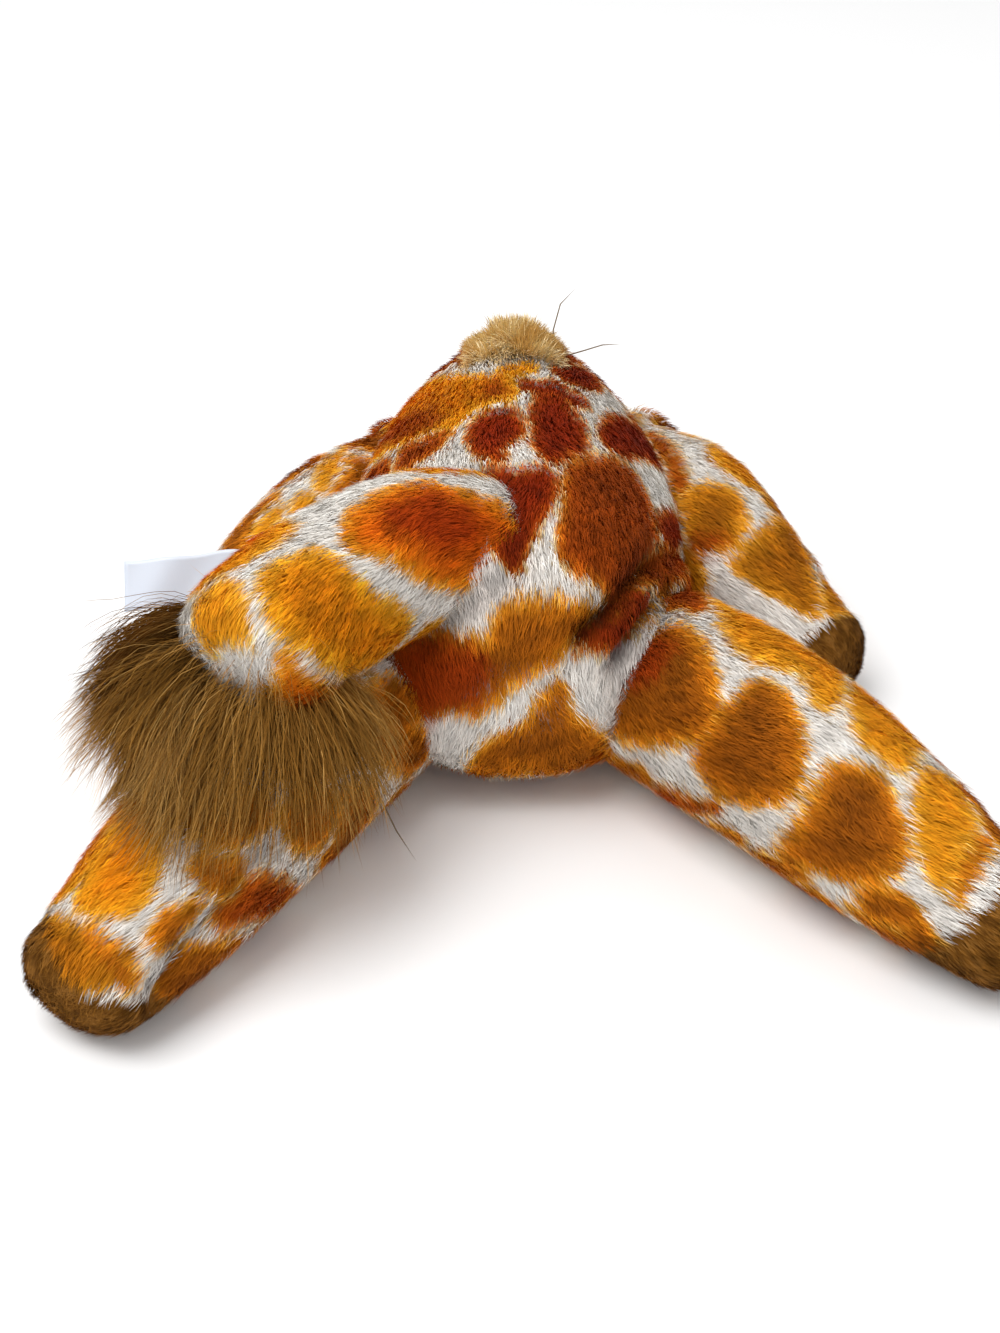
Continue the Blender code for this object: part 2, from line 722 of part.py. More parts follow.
def turned(name, profile):
    """A solid of revolution about Z from (radius, height) points that run up its outer side."""
    bm = bmesh.new()
    verts = [bm.verts.new((0, 0, profile[0][1]))]
    verts += [bm.verts.new((radius, 0, height)) for radius, height in profile]
    edges = [bm.edges.new(pair) for pair in zip(verts, verts[1:])]
    bmesh.ops.spin(
        bm,
        geom=verts + edges,
        axis=UP,
        cent=(0, 0, 0),
        angle=2 * math.pi,
        steps=SMALL_SEGMENTS,
        use_merge=True,
    )
    bmesh.ops.remove_doubles(bm, verts=bm.verts, dist=SEAM_GAP / 10)
    bmesh.ops.recalc_face_normals(bm, faces=bm.faces)
    return object_from(bm, name)


def eye(side, around, head_skin, fill):
    """A safety eye: a plastic dome whose shank goes through the skin into a washer."""
    name = SIDE_NAMES[side]
    along_share = 0.34
    middle = head_station(along_share, 1, 1).centre
    sight = SIDEWAYS * side * math.cos(EYE_RISE) + UP * math.sin(EYE_RISE)
    bpy.context.view_layer.update()
    surface = around.evaluated_get(bpy.context.evaluated_depsgraph_get())
    _, face, outwards, _ = surface.ray_cast(middle + sight * HEAD_LENGTH, -sight)
    dome_shares = ((1.0, 0.0), (0.92, 0.45), (0.70, 0.78), (0.38, 0.96), (0.0, 1.0))
    profile = [(SHANK_RADIUS, -SHANK_LENGTH), (SHANK_RADIUS, 0)]
    profile += [(EYE_RADIUS * width, EYE_HEIGHT * height) for width, height in dome_shares]
    dome = turned("eye_" + name, profile)
    turn = UP.rotation_difference(outwards).to_matrix().to_4x4()
    place = Matrix.Translation(face) @ turn
    dome.data.transform(place)

    washer = turned_ring("washer_" + name)
    washer.data.transform(place)
    hole = cylinder("eye_hole_" + name, SHANK_RADIUS + SEAM_GAP, SHANK_LENGTH + SEAM_GAP, EYE_HEIGHT)
    hole.data.transform(place)
    room = cylinder("washer_room_" + name, WASHER_RADIUS + SEAM_GAP, SHANK_LENGTH + SEAM_GAP, EYE_HEIGHT)
    room.data.transform(place)
    cut(head_skin, cutter(hole))
    cut(fill, cutter(room))
    finish(dome, head_body, BLACK_PLASTIC)
    finish(washer, head_body, WHITE_PLASTIC)


def turned_ring(name):
    """The locking washer on the shank, just under the curved skin."""
    curve_depth = WASHER_RADIUS**2 / (HEAD_WIDTH - 2 * FUR_THICKNESS)
    clearance = 7 * SEAM_GAP
    top = -(FUR_THICKNESS + curve_depth + clearance)
    inner = SHANK_RADIUS + SEAM_GAP
    corners = (
        (inner, top - WASHER_THICKNESS),
        (WASHER_RADIUS, top - WASHER_THICKNESS),
        (WASHER_RADIUS, top),
        (inner, top),
    )
    bm = bmesh.new()
    verts = [bm.verts.new((radius, 0, height)) for radius, height in corners]
    edges = [bm.edges.new((verts[i], verts[(i + 1) % 4])) for i in range(4)]
    bmesh.ops.spin(
        bm,
        geom=verts + edges,
        axis=UP,
        cent=(0, 0, 0),
        angle=2 * math.pi,
        steps=SMALL_SEGMENTS,
        use_merge=True,
    )
    bmesh.ops.remove_doubles(bm, verts=bm.verts, dist=SEAM_GAP / 10)
    bmesh.ops.recalc_face_normals(bm, faces=bm.faces)
    return object_from(bm, name)


def cylinder(name, radius, depth, top):
    """A plain cylinder about Z from -depth to top."""
    bm = bmesh.new()
    bmesh.ops.create_cone(
        bm,
        cap_ends=True,
        segments=SMALL_SEGMENTS,
        radius1=radius,
        radius2=radius,
        depth=depth + top,
    )
    bmesh.ops.translate(bm, vec=(0, 0, (top - depth) / 2), verts=bm.verts)
    return object_from(bm, name)


# Care label


def care_label(around):
    """A bare satin strip that stands out from the side seam and leans on the front left hoof."""
    columns, root_share, curl_half_waves = 9, 0.95, 1.5
    across = (FORWARD * math.cos(LABEL_LEAN) + UP * math.sin(LABEL_LEAN)) * LABEL_WIDTH
    root = Vector((-TORSO_WIDTH / 2 * root_share, LABEL_FORWARD, LABEL_HEIGHT))
    bm = bmesh.new()
    rows = []
    for i in range(columns):
        share = i / (columns - 1)
        place = root - SIDEWAYS * LABEL_LENGTH * share
        place += FORWARD * LABEL_CURL * math.sin(math.pi * curl_half_waves * share)
        rows.append((bm.verts.new(place), bm.verts.new(place + across)))
    for (low, high), (next_low, next_high) in zip(rows, rows[1:]):
        bm.faces.new((low, next_low, next_high, high))
    label = object_from(bm, "care_label")
    cloth = label.modifiers.new("cloth", "SOLIDIFY")
    cloth.thickness = LABEL_THICKNESS
    cloth.offset = 0
    finish(cut(label, around), torso_body, SATIN, smooth=False)


# The whole giraffe

rear_middle = (REAR_SWING_OUT - REAR_SWING_IN) / 2
rear_half = (REAR_SWING_OUT + REAR_SWING_IN) / 2
limb_room = []
for side, splay in ((-1, REAR_LEFT_SPLAY), (1, REAR_RIGHT_SPLAY)):
    name = "rear_leg_" + SIDE_NAMES[side]
    leg(name, hips[side], splay, side, HIP_RADIUS, THIGH_RADIUS, REAR_LEG_LENGTH)
    hip_room = socket(
        name,
        hips[side],
        HIP_RADIUS,
        HIP_BALL_SHARE,
        THIGH_RADIUS,
        2 * THIGH_RADIUS - HIP_HEIGHT,
        HIP_HEIGHT,
        plan_direction(splay + rear_middle, side),
        UP,
        rear_half + SWING_ROOM,
        TORSO_WIDTH / 2,
    )
    name = "front_leg_" + SIDE_NAMES[side]
    leg(name, shoulders[side], FRONT_SPLAY, side, SHOULDER_RADIUS, FOREARM_RADIUS, FRONT_LEG_LENGTH)
    shoulder_room = socket(
        name,
        shoulders[side],
        SHOULDER_RADIUS,
        BALL_SHARE,
        FOREARM_RADIUS,
        SHOULDER_RADIUS,
        SHOULDER_HEIGHT,
        plan_direction(FRONT_SPLAY + FRONT_SWING_OUT / 2, side),
        UP,
        FRONT_SWING_OUT / 2 + SWING_ROOM,
        TORSO_WIDTH / 2,
    )
    limb_room += [hip_room, shoulder_room]

tail()
tail_mouth_splay = (3 * TAIL_START_SPLAY + TAIL_END_SPLAY) / 4
tail_level = plan_direction(tail_mouth_splay, -1)
tail_room = socket(
    "tail",
    tail_root,
    TAIL_RADIUS,
    BALL_SHARE,
    TAIL_RADIUS,
    TAIL_RADIUS + TAIL_BEND_ROOM,
    TAIL_RADIUS + TAIL_BEND_ROOM,
    tail_level * math.cos(TAIL_LIFT / 2) + UP * math.sin(TAIL_LIFT / 2),
    tail_level.cross(UP),
    TAIL_LIFT / 2,
    TORSO_WIDTH / 2,
)

neck()
neck_middle_pitch = (NECK_END_PITCH + NECK_START_PITCH + NECK_LIFT) / 2
neck_room = socket(
    "neck",
    neck_root,
    NECK_ROOT_RADIUS,
    BALL_SHARE,
    NECK_ROOT_RADIUS,
    NECK_ROOT_RADIUS,
    NECK_ROOT_RADIUS,
    FORWARD * math.cos(neck_middle_pitch) + UP * math.sin(neck_middle_pitch),
    SIDEWAYS,
    (NECK_LIFT + NECK_START_PITCH - NECK_END_PITCH) / 2,
    TORSO_WIDTH / 2,
)
limb_room += [tail_room, neck_room]

around_torso = torso(limb_room)
withers_tuft(around_torso)
care_label(around_torso)
head()
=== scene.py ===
"""A plush giraffe lying on its belly, seen from behind, in long patterned pile."""

import math

import bmesh
import bpy
import numpy as np
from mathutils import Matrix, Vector, kdtree
from mathutils.bvhtree import BVHTree


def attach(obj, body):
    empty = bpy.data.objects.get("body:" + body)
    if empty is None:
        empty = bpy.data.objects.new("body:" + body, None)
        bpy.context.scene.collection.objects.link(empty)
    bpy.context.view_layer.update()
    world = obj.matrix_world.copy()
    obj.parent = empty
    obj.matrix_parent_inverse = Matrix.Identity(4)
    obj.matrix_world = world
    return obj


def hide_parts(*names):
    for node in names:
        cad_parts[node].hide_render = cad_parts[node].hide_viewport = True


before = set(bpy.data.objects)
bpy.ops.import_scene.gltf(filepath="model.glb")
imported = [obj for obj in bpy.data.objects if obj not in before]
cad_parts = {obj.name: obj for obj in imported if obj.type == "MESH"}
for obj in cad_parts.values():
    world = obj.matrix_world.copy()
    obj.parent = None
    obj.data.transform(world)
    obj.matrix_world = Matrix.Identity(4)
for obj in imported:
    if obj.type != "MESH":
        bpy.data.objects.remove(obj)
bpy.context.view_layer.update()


# Torso. A bag of patterned plush, stuffed firmly and a little flat, with its pile brushed towards the rump.
# The back is sewn in along the thighs, and two deep folds run down from the right hip.

PILE_RISE = 0.0050
TORSO_REAR, TORSO_FRONT = -0.108, 0.107
TORSO_WIDTH, TORSO_HEIGHT = 0.150, 0.128
# Along the torso from the rump: width, underside and top, as shares of the whole.
TORSO_STATIONS = (
    (0.00, 0.38, 0.24, 0.64),
    (0.04, 0.60, 0.12, 0.78),
    (0.10, 0.79, 0.05, 0.89),
    (0.26, 0.97, 0.00, 0.98),
    (0.48, 1.00, 0.00, 1.00),
    (0.70, 0.96, 0.00, 1.00),
    (0.88, 0.80, 0.02, 0.97),
    (0.96, 0.58, 0.10, 0.88),
    (1.00, 0.36, 0.20, 0.76),
)


def smooth_between(stations, share):
    """The values of a table of stations at one place along it, on a smooth curve through them."""
    rows = np.array(stations, float)
    share = min(max(share, rows[0, 0]), rows[-1, 0])
    i = int(np.clip(np.searchsorted(rows[:, 0], share) - 1, 0, len(rows) - 2))
    ahead, behind = rows[min(i + 2, len(rows) - 1)], rows[max(i - 1, 0)]
    low, high = rows[i], rows[i + 1]
    step = high[0] - low[0]
    t = (share - low[0]) / step
    rise_low = (high - behind) / max(high[0] - behind[0], 1e-6) * step
    rise_high = (ahead - low) / max(ahead[0] - low[0], 1e-6) * step
    curve = (
        (2 * t**3 - 3 * t**2 + 1) * low
        + (t**3 - 2 * t**2 + t) * rise_low
        + (3 * t**2 - 2 * t**3) * high
        + (t**3 - t**2) * rise_high
    )
    return curve[1:]


def in_order(mesh):
    """Puts faces and edges in a fixed order, as a new sphere lists its faces in another one each run."""
    shell = bmesh.new()
    shell.from_mesh(mesh)
    count = len(shell.verts)
    shell.faces.sort(key=lambda face: face.verts[0].index * count + face.verts[1].index)
    ends = {edge: sorted(v.index for v in edge.verts) for edge in shell.edges}
    shell.edges.sort(key=lambda edge: ends[edge][0] * count + ends[edge][1])
    shell.to_mesh(mesh)
    shell.free()


def stuffed_form(name, rings, sides=56, flat_share=0.0, ridge_share=0.0):
    """A ball whose rings are drawn out along a limb.

    A ring is (place along in mm, centre, direction, half width, half height).
    """
    bpy.ops.object.select_all(action="DESELECT")
    bpy.ops.mesh.primitive_uv_sphere_add(segments=sides, ring_count=len(rings) - 1, radius=1)
    form = bpy.context.object
    form.name = name
    mesh = form.data
    in_order(mesh)
    ball = np.empty(len(mesh.vertices) * 3)
    mesh.vertices.foreach_get("co", ball)
    ball = ball.reshape(-1, 3)
    at = np.rint(np.arccos(np.clip(ball[:, 2], -1, 1)) / math.pi * (len(rings) - 1)).astype(int)
    angle = np.arctan2(ball[:, 1], ball[:, 0])
    centre = np.array([r[1] for r in rings])[at]
    along = np.array([Vector(r[2]).normalized() for r in rings])[at]
    wide = np.array([r[3] for r in rings])[at]
    high = np.array([r[4] for r in rings])[at]
    side = np.cross(along, (0, 0, 1))
    side /= np.linalg.norm(side, axis=1, keepdims=True)
    up = np.cross(side, along)
    across, rise = np.cos(angle), np.sin(angle)
    across = np.where(rise > 0, across * (1 - ridge_share * rise), across)
    rise = np.where(rise < 0, -np.abs(rise) ** (1 - flat_share), rise)
    spot = centre + side * (across * wide)[:, None] + up * (rise * high)[:, None]
    mesh.vertices.foreach_set("co", spot.ravel())
    mesh.shade_smooth()
    steps = np.diff([(r[0], 500 * (r[3] + r[4])) for r in rings], axis=0)
    reach = np.append(0, np.cumsum(np.hypot(steps[:, 0], steps[:, 1])))
    reach -= np.interp(0, [r[0] for r in rings], reach)
    for kind, values in (("along", reach[at]), ("round", angle), ("crease_shade", np.zeros(len(at)))):
        mesh.attributes.new(kind, "FLOAT", "POINT").data.foreach_set("value", values.astype(np.float32))
    mesh.update()
    return form


def read(mesh, name):
    """The values of a mesh's attribute, one for each corner."""
    found = np.empty(len(mesh.attributes[name].data), np.float32)
    mesh.attributes[name].data.foreach_get("value", found)
    return found


def corners(form):
    """(places, normals, triangles) of a form, as arrays."""
    mesh = form.data
    places = np.empty(len(mesh.vertices) * 3)
    mesh.vertices.foreach_get("co", places)
    normals = np.empty(len(mesh.vertices) * 3, np.float32)
    mesh.vertex_normals.foreach_get("vector", normals)
    mesh.calc_loop_triangles()
    triangles = np.empty(len(mesh.loop_triangles) * 3, int)
    mesh.loop_triangles.foreach_get("vertices", triangles)
    return places.reshape(-1, 3), normals.reshape(-1, 3).astype(float), triangles.reshape(-1, 3)


def distance_to_path(points, path):
    """How far each point lies from a line of straight pieces."""
    best = np.full(len(points), 1e9)
    for start, end in zip(path, path[1:]):
        start, end = np.array(start, float), np.array(end, float)
        piece = end - start
        t = np.clip((points - start) @ piece / max(piece @ piece, 1e-12), 0, 1)
        best = np.minimum(best, np.linalg.norm(points - start - t[:, None] * piece, axis=1))
    return best


def press_folds(form, folds):
    """Draws the cloth in along each fold, and notes how strongly the colour there is darkened to a painted
    shade.

    A fold is a path, a depth and a width, all in metres.
    """
    places, normals, _ = corners(form)
    flat, crease_shade = places, read(form.data, "crease_shade")
    for path, depth, width in folds:
        far = distance_to_path(flat, path) / width
        places = places - normals * (depth * np.exp(-(far**2)))[:, None]
        # How strongly the fold darkens the colour to a painted shade, which also shortens the pile there.
        crease_shade = np.maximum(crease_shade, min(90 * depth, 0.95) * np.exp(-((far / 1.2) ** 2)))
    form.data.attributes["crease_shade"].data.foreach_set("value", crease_shade.astype(np.float32))
    form.data.vertices.foreach_set("co", places.ravel())
    form.data.update()


def paint(code):
    """A colour written the usual way, turned into light values."""
    parts = np.array([int(code[i : i + 2], 16) / 255 for i in (1, 3, 5)])
    return np.where(parts > 0.04045, ((parts + 0.055) / 1.055) ** 2.4, parts / 12.92)


def waves(places, seed, size):
    """A smooth field between about -1 and 1, one for each seed, with features of one size in metres."""
    rng = np.random.default_rng(seed)
    total = np.zeros(len(places))
    for _ in range(7):
        direction = rng.normal(size=3)
        direction /= np.linalg.norm(direction)
        pitch = 2 * math.pi / size * rng.uniform(0.6, 1.5)
        total += np.sin(places @ direction * pitch + rng.uniform(0, 6.3))
    return total / 2.6


# How far a patch reaches past its outline in mm, as its fibres lean over the white ones.
GROWN = 2.1
# White pile, dark patch centres that also paint the tail's shadow on the rump, and the painted shade of
# creases.
WHITE_PILE, CORE_AND_SHADE_PILE, PAINTED_CREASE_SHADE = paint("#ECE7E0"), paint("#A03006"), paint("#451603")
# Colours of a patch from its edge inwards, each with its depth in mm.
TONES = {
    "leg": (
        (-0.6, "#ECE7E0"), (0.6, "#ECB850"), (2.2, "#E4941E"),
        (5.0, "#C87212"), (9.0, "#A85C0E"), (14, "#96500C"),
    ),
    "honey": (
        (-0.6, "#ECE7E0"), (0.6, "#F0BE5C"), (2.2, "#E69E24"),
        (5.0, "#CC8216"), (9.0, "#B87010"), (14, "#AC640E"),
    ),
    "gold": ((-0.6, "#ECE7E0"), (0.6, "#F2C66A"), (2.5, "#F0AC2A"), (6.0, "#E89C1C"), (14, "#DE8E16")),
    "amber": ((-0.6, "#ECE7E0"), (0.6, "#F2C054"), (2.5, "#F2AA20"), (7.0, "#E89816"), (14, "#DC840E")),
    "tail": (
        (-0.6, "#ECE7E0"), (0.8, "#F0B044"), (3.0, "#EC941A"),
        (7.0, "#E27610"), (13, "#D05C0A"), (20, "#C24C06"),
    ),
    "rust": ((-0.5, "#E6CC98"), (0.5, "#E0902A"), (2.5, "#C8640E"), (6.0, "#AE4C0C"), (12, "#A0440A")),
    "back": ((-0.5, "#E6CC98"), (0.5, "#D87A20"), (2.0, "#B64E0C"), (4.5, "#9C3408"), (10, "#8E2806")),
}


def depth_in(outline, u, v):
    """How deep each point lies inside an outline, negative outside."""
    best = np.full(len(u), 1e9)
    inside = np.zeros(len(u), bool)
    for (ua, va), (ub, vb) in zip(outline, np.roll(outline, -1, axis=0)):
        du, dv = ub - ua, vb - va
        t = np.clip(((u - ua) * du + (v - va) * dv) / max(du * du + dv * dv, 1e-9), 0, 1)
        best = np.minimum(best, np.hypot(u - ua - t * du, v - va - t * dv))
        crosses = (va > v) != (vb > v)
        inside ^= crosses & (u < ua + (v - va) / np.where(abs(dv) < 1e-9, 1e-9, dv) * du)
    return np.where(inside, best, -best)


def rounded(outline):
    """An outline with its corners cut off twice."""
    for _ in range(2):
        ahead = np.roll(outline, -1, axis=0)
        outline = np.stack((0.75 * outline + 0.25 * ahead, 0.25 * outline + 0.75 * ahead), 1).reshape(-1, 2)
    return outline


def patched(patches, radius, rump_patches=(), grown=GROWN):
    """A colour for each place on a form whose radius is about that many mm.

    A patch is (tone, [place along in mm, angle round in degrees, ...]), and one of the rump is given in
    mm across and up instead.
    """

    def colour(along, turn, places, rng):
        u, v = along, np.degrees(turn)
        shades = np.tile(WHITE_PILE, (len(u), 1)) * (1 + 0.05 * waves(places, 5, 0.03))[:, None]
        ragged = 0.8 * waves(places, 11, 0.010) + 0.9 * rng.normal(size=len(u))
        ragged += 0.7 * waves(places, 12, 0.025)
        deepest = np.full(len(u), -1.5)
        scale = radius * math.pi / 180
        core = np.zeros(len(u))
        behind = (places[:, 1] < -0.070) & (places[:, 2] < 0.105)
        for tone, numbers, on_rump in [(*p, False) for p in patches] + [(*p, True) for p in rump_patches]:
            outline = np.array(numbers, float).reshape(-1, 2)
            if on_rump:
                outline = rounded(outline)
                near_u, near_v = places[:, 0] * 1000, places[:, 2] * 1000
            else:
                middle = outline[:, 1].mean()
                outline = rounded(outline) * (1, scale)
                near_u, near_v = u, ((v - middle + 180) % 360 - 180 + middle) * scale
            low, high = outline.min(axis=0) - 4, outline.max(axis=0) + 4
            near = (near_u > low[0]) & (near_u < high[0]) & (near_v > low[1]) & (near_v < high[1])
            if on_rump:
                near &= behind
            if not near.any():
                continue
            deep = depth_in(outline, near_u[near], near_v[near]) + grown + ragged[near]
            if tone == "core":
                core[near] = np.maximum(core[near], np.clip((deep + 1.5) / 7, 0, 1))
                continue
            better = deep > deepest[near]
            spot = np.flatnonzero(near)[better]
            deep = deep[better]
            deepest[spot] = deep
            steps = [s[0] for s in TONES[tone]]
            codes = np.array([paint(s[1]) for s in TONES[tone]])
            mottle = 1 + 0.16 * waves(places[spot], 21, 0.007) + 0.05 * rng.normal(size=len(spot))
            tone_here = np.stack([np.interp(deep, steps, codes[:, i]) for i in range(3)], 1)
            shades[spot] = tone_here * mottle[:, None]
        # Dark patch centres, and on the rump the same colour as a painted shadow under the tail.
        shades += (CORE_AND_SHADE_PILE - shades) * (0.75 * core)[:, None]
        return shades

    return colour


def plain(*codes, size=0.012):
    """Colours that mingle, for pile with no pattern."""

    def colour(along, turn, places, rng):
        share = np.clip(0.5 + 0.35 * waves(places, 31, size) + 0.22 * rng.normal(size=len(places)), 0, 1)
        shades = np.array([paint(c) for c in codes])
        steps = np.linspace(0, 1, len(codes))
        return np.stack([np.interp(share, steps, shades[:, i]) for i in range(3)], 1)

    return colour


def tinted(name, roughness):
    """Cloth or pile that takes its colour from the fibres."""
    made = bpy.data.materials.new(name)
    made.use_nodes = True
    nodes, links = made.node_tree.nodes, made.node_tree.links
    shader = nodes["Principled BSDF"]
    shader.inputs["Roughness"].default_value = roughness
    shader.inputs["Specular IOR Level"].default_value = 0.08
    source = nodes.new("ShaderNodeAttribute")
    source.attribute_name = "fur_colour"
    links.new(source.outputs["Color"], shader.inputs["Base Color"])
    return made


PILE = tinted("pile", 0.80)
BACKING = tinted("knitted_backing", 0.95)


def coloured(mesh, shades):
    values = np.ones((len(shades), 4), np.float32)
    values[:, :3] = np.clip(shades, 0, 1)
    mesh.attributes.new("fur_colour", "FLOAT_COLOR", "POINT").data.foreach_set("color", values.ravel())


def dye_with_painted_shade(form, colour, share=0.84, hoof=None):
    """Colours the cloth under the pile with its print, darker by a painted shade between the fibres and in
    the creases.
    """
    places, _, _ = corners(form)
    along, turn = read(form.data, "along"), read(form.data, "round")
    shades = colour(along, turn, places, np.random.default_rng(3))
    if hoof is not None:
        shades[hoof(along, turn) >= -4] = paint("#80521A")
    # Creases are darkened to a painted shade.
    shades += (PAINTED_CREASE_SHADE - shades) * read(form.data, "crease_shade")[:, None]
    # The cloth is darker than the pile over it, a painted shade of the gaps between fibres.
    coloured(form.data, shades * share)
    form.data.materials.append(BACKING)


def unit(v):
    return v / np.maximum(np.linalg.norm(v, axis=1, keepdims=True), 1e-9)


def charted(form, pick, w):
    """Place along, angle round and crease shade at points given by their triangle's corners and shares."""
    along, turn, crease_shade = (read(form.data, kind)[pick] for kind in ("along", "round", "crease_shade"))
    turn = np.arctan2((np.sin(turn) * w).sum(axis=1), (np.cos(turn) * w).sum(axis=1))
    return (along * w).sum(axis=1), turn, (crease_shade * w).sum(axis=1)


def roots_on(form, count, rng, keep=None):
    """Places, normals and charted position of evenly spread roots."""
    places, normals, triangles = corners(form)
    corner = places[triangles]
    area = np.linalg.norm(np.cross(corner[:, 1] - corner[:, 0], corner[:, 2] - corner[:, 0]), axis=1)
    if keep is not None:
        along, turn, _ = charted(form, triangles, np.full((len(triangles), 3), 1 / 3))
        area = area * keep(corner.mean(axis=1), along, turn)
    pick = triangles[rng.choice(len(triangles), count, p=area / area.sum())]
    w = rng.random((count, 2))
    w = np.where(w.sum(axis=1, keepdims=True) > 1, 1 - w, w)
    w = np.column_stack((1 - w.sum(axis=1), w))
    spot = (places[pick] * w[:, :, None]).sum(axis=1)
    return spot, unit((normals[pick] * w[:, :, None]).sum(axis=1)), *charted(form, pick, w)


def cloth_under(form, spots):
    """The place of the cloth that lies nearest to each spot, its charted position and its crease shade."""
    places, _, triangles = corners(form)
    tree = BVHTree.FromPolygons(places.tolist(), triangles.tolist())
    found = [tree.find_nearest(s) for s in spots.tolist()]
    near, pick = np.array([f[0] for f in found]), triangles[[f[2] for f in found]]
    a, b, c = (places[pick[:, k]] for k in range(3))
    ab, ac, ap = b - a, c - a, near - a
    bb, bc, cc, pb, pc = ((x * y).sum(axis=1) for x, y in ((ab, ab), (ab, ac), (ac, ac), (ap, ab), (ap, ac)))
    size = np.maximum(bb * cc - bc * bc, 1e-20)
    w = np.clip(np.column_stack(((cc * pb - bc * pc) / size, (bb * pc - bc * pb) / size)), 0, 1)
    w = np.column_stack((np.maximum(1 - w.sum(axis=1), 0), w))
    along, turn, crease_shade = charted(form, pick, w / w.sum(axis=1, keepdims=True))
    return near, along, turn, crease_shade


def fibres(name, points, width, shades, facing, body, rng, root_painted_shade=0.85):
    """Flat fibres, painted darker at the root as shade and a little lighter at the tip as a highlight.
    Points is (fibre, place along it, 3), facing the normal that the light sees.
    """
    count, steps, _ = points.shape
    heading = unit((points[:, -1] - points[:, 0]))
    side = unit(np.cross(facing, heading))
    up = np.cross(heading, side)
    roll = rng.uniform(-0.7, 0.7, count)
    side = side * np.cos(roll)[:, None] + up * np.sin(roll)[:, None]
    taper = np.linspace(1, 0.75, steps - 1)
    half = side[:, None] * (width[:, None] * taper / 2)[:, :, None]
    pairs = np.stack((points[:, :-1] - half, points[:, :-1] + half), axis=2).reshape(count, -1, 3)
    spots = np.concatenate((pairs, points[:, -1:]), axis=1)
    each = spots.shape[1]
    spots[:, :, 2] = np.maximum(spots[:, :, 2], 0.0006)
    faces = []
    base = (np.arange(count) * each)[:, None]
    for i in range(steps - 2):
        a = 2 * i
        faces.append(base + np.array((a, a + 3, a + 1)))
        faces.append(base + np.array((a, a + 2, a + 3)))
    faces.append(base + np.array((each - 3, each - 1, each - 2)))
    faces = np.stack(faces, axis=1).reshape(-1, 3)
    mesh = bpy.data.meshes.new(name)
    mesh.vertices.add(count * each)
    mesh.vertices.foreach_set("co", spots.astype(np.float32).ravel())
    mesh.loops.add(len(faces) * 3)
    mesh.loops.foreach_set("vertex_index", faces.astype(np.int32).ravel())
    mesh.polygons.add(len(faces))
    mesh.polygons.foreach_set("loop_start", np.arange(0, len(faces) * 3, 3, dtype=np.int32))
    mesh.update(calc_edges=True)
    mesh.shade_smooth()
    # Painted shade at the root, where the pile shades itself, and a painted highlight at the tip.
    painted_shade_along = np.interp(np.linspace(0, 1, steps - 1), (0, 0.45, 1), (root_painted_shade, 0.92, 1.0))
    painted_shade_along = np.append(np.repeat(painted_shade_along, 2), 1.06)
    coloured(mesh, (shades[:, None] * painted_shade_along[None, :, None]).reshape(-1, 3))
    outward = unit(facing * 0.75 + up * 0.5)
    mesh.normals_split_custom_set_from_vertices(np.repeat(outward, each, axis=0).astype(np.float32))
    mesh.materials.append(PILE)
    made = bpy.data.objects.new(name, mesh)
    bpy.context.collection.objects.link(made)
    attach(made, body)
    return made


# Length of the coat on the torso, tail and legs.
COAT = 0.0095


# How far a fibre leans from upright at its root and its tip, in degrees, and how far tips gather in locks.
LEAN, CLUMP = (50, 83), 0.24


def pile(
    name, form, count, length, flow, colour, body, seed, keep=None, width=0.00036
):
    """Short pile that covers a form, brushed along flow(places, along), printed where its tips lie."""
    rng = np.random.default_rng(seed)
    places, normals, along, turn, crease_shade = roots_on(form, count, rng, keep)
    brush = flow(places, along) + 0.20 * np.column_stack([waves(places, seed + i, 0.05) for i in range(3)])
    brush = brush + 0.17 * rng.normal(size=places.shape)
    brush = unit(brush - normals * (brush * normals).sum(axis=1, keepdims=True))
    size = length * rng.uniform(0.75, 1.12, count) * (1 + 0.08 * waves(places, seed + 7, 0.015))
    # Pile is shorter where the crease shade is strong.
    size *= 1 - 0.45 * crease_shade
    first, last = (np.radians(a + rng.normal(0, 6, count)) for a in LEAN)
    step1 = normals * np.cos(first)[:, None] + brush * np.sin(first)[:, None]
    step2 = normals * np.cos(last)[:, None] + brush * np.sin(last)[:, None]
    start = places - normals * 0.0006
    middle = start + step1 * (size * 0.48)[:, None]
    tip = middle + step2 * (size * 0.52)[:, None]
    gather = rng.choice(count, count // 10, replace=False)
    tree = kdtree.KDTree(len(gather))
    for i, k in enumerate(gather):
        tree.insert(places[k], i)
    tree.balance()
    lock = np.array([tree.find(p)[1] for p in places])
    pull = np.clip(CLUMP * (0.7 + 0.5 * rng.normal(size=count)), 0, 0.85)[:, None]
    tip = tip + (tip[gather[lock]] - tip) * pull
    middle = middle + (middle[gather[lock]] - middle) * pull * 0.4
    points = np.stack((start, middle, tip), axis=1)
    seen, along, turn, shaded = cloth_under(form, 0.35 * middle + 0.65 * tip)
    shades = colour(along, turn, seen, rng)
    # Pile in creases is darkened to a painted shade.
    shades += (PAINTED_CREASE_SHADE - shades) * np.maximum(crease_shade, shaded)[:, None]
    uneven = 1 + 0.07 * rng.normal(size=count) + 0.11 * rng.normal(size=len(gather))[lock]
    shades = shades * uneven[:, None]
    return fibres(name, points, width * rng.uniform(0.8, 1.2, count), shades, normals, body, rng)


def fixed(x, y, z):
    """A brushing direction that is the same all over a form."""
    return lambda places, along: np.tile((x, y, z), (len(places), 1)).astype(float)


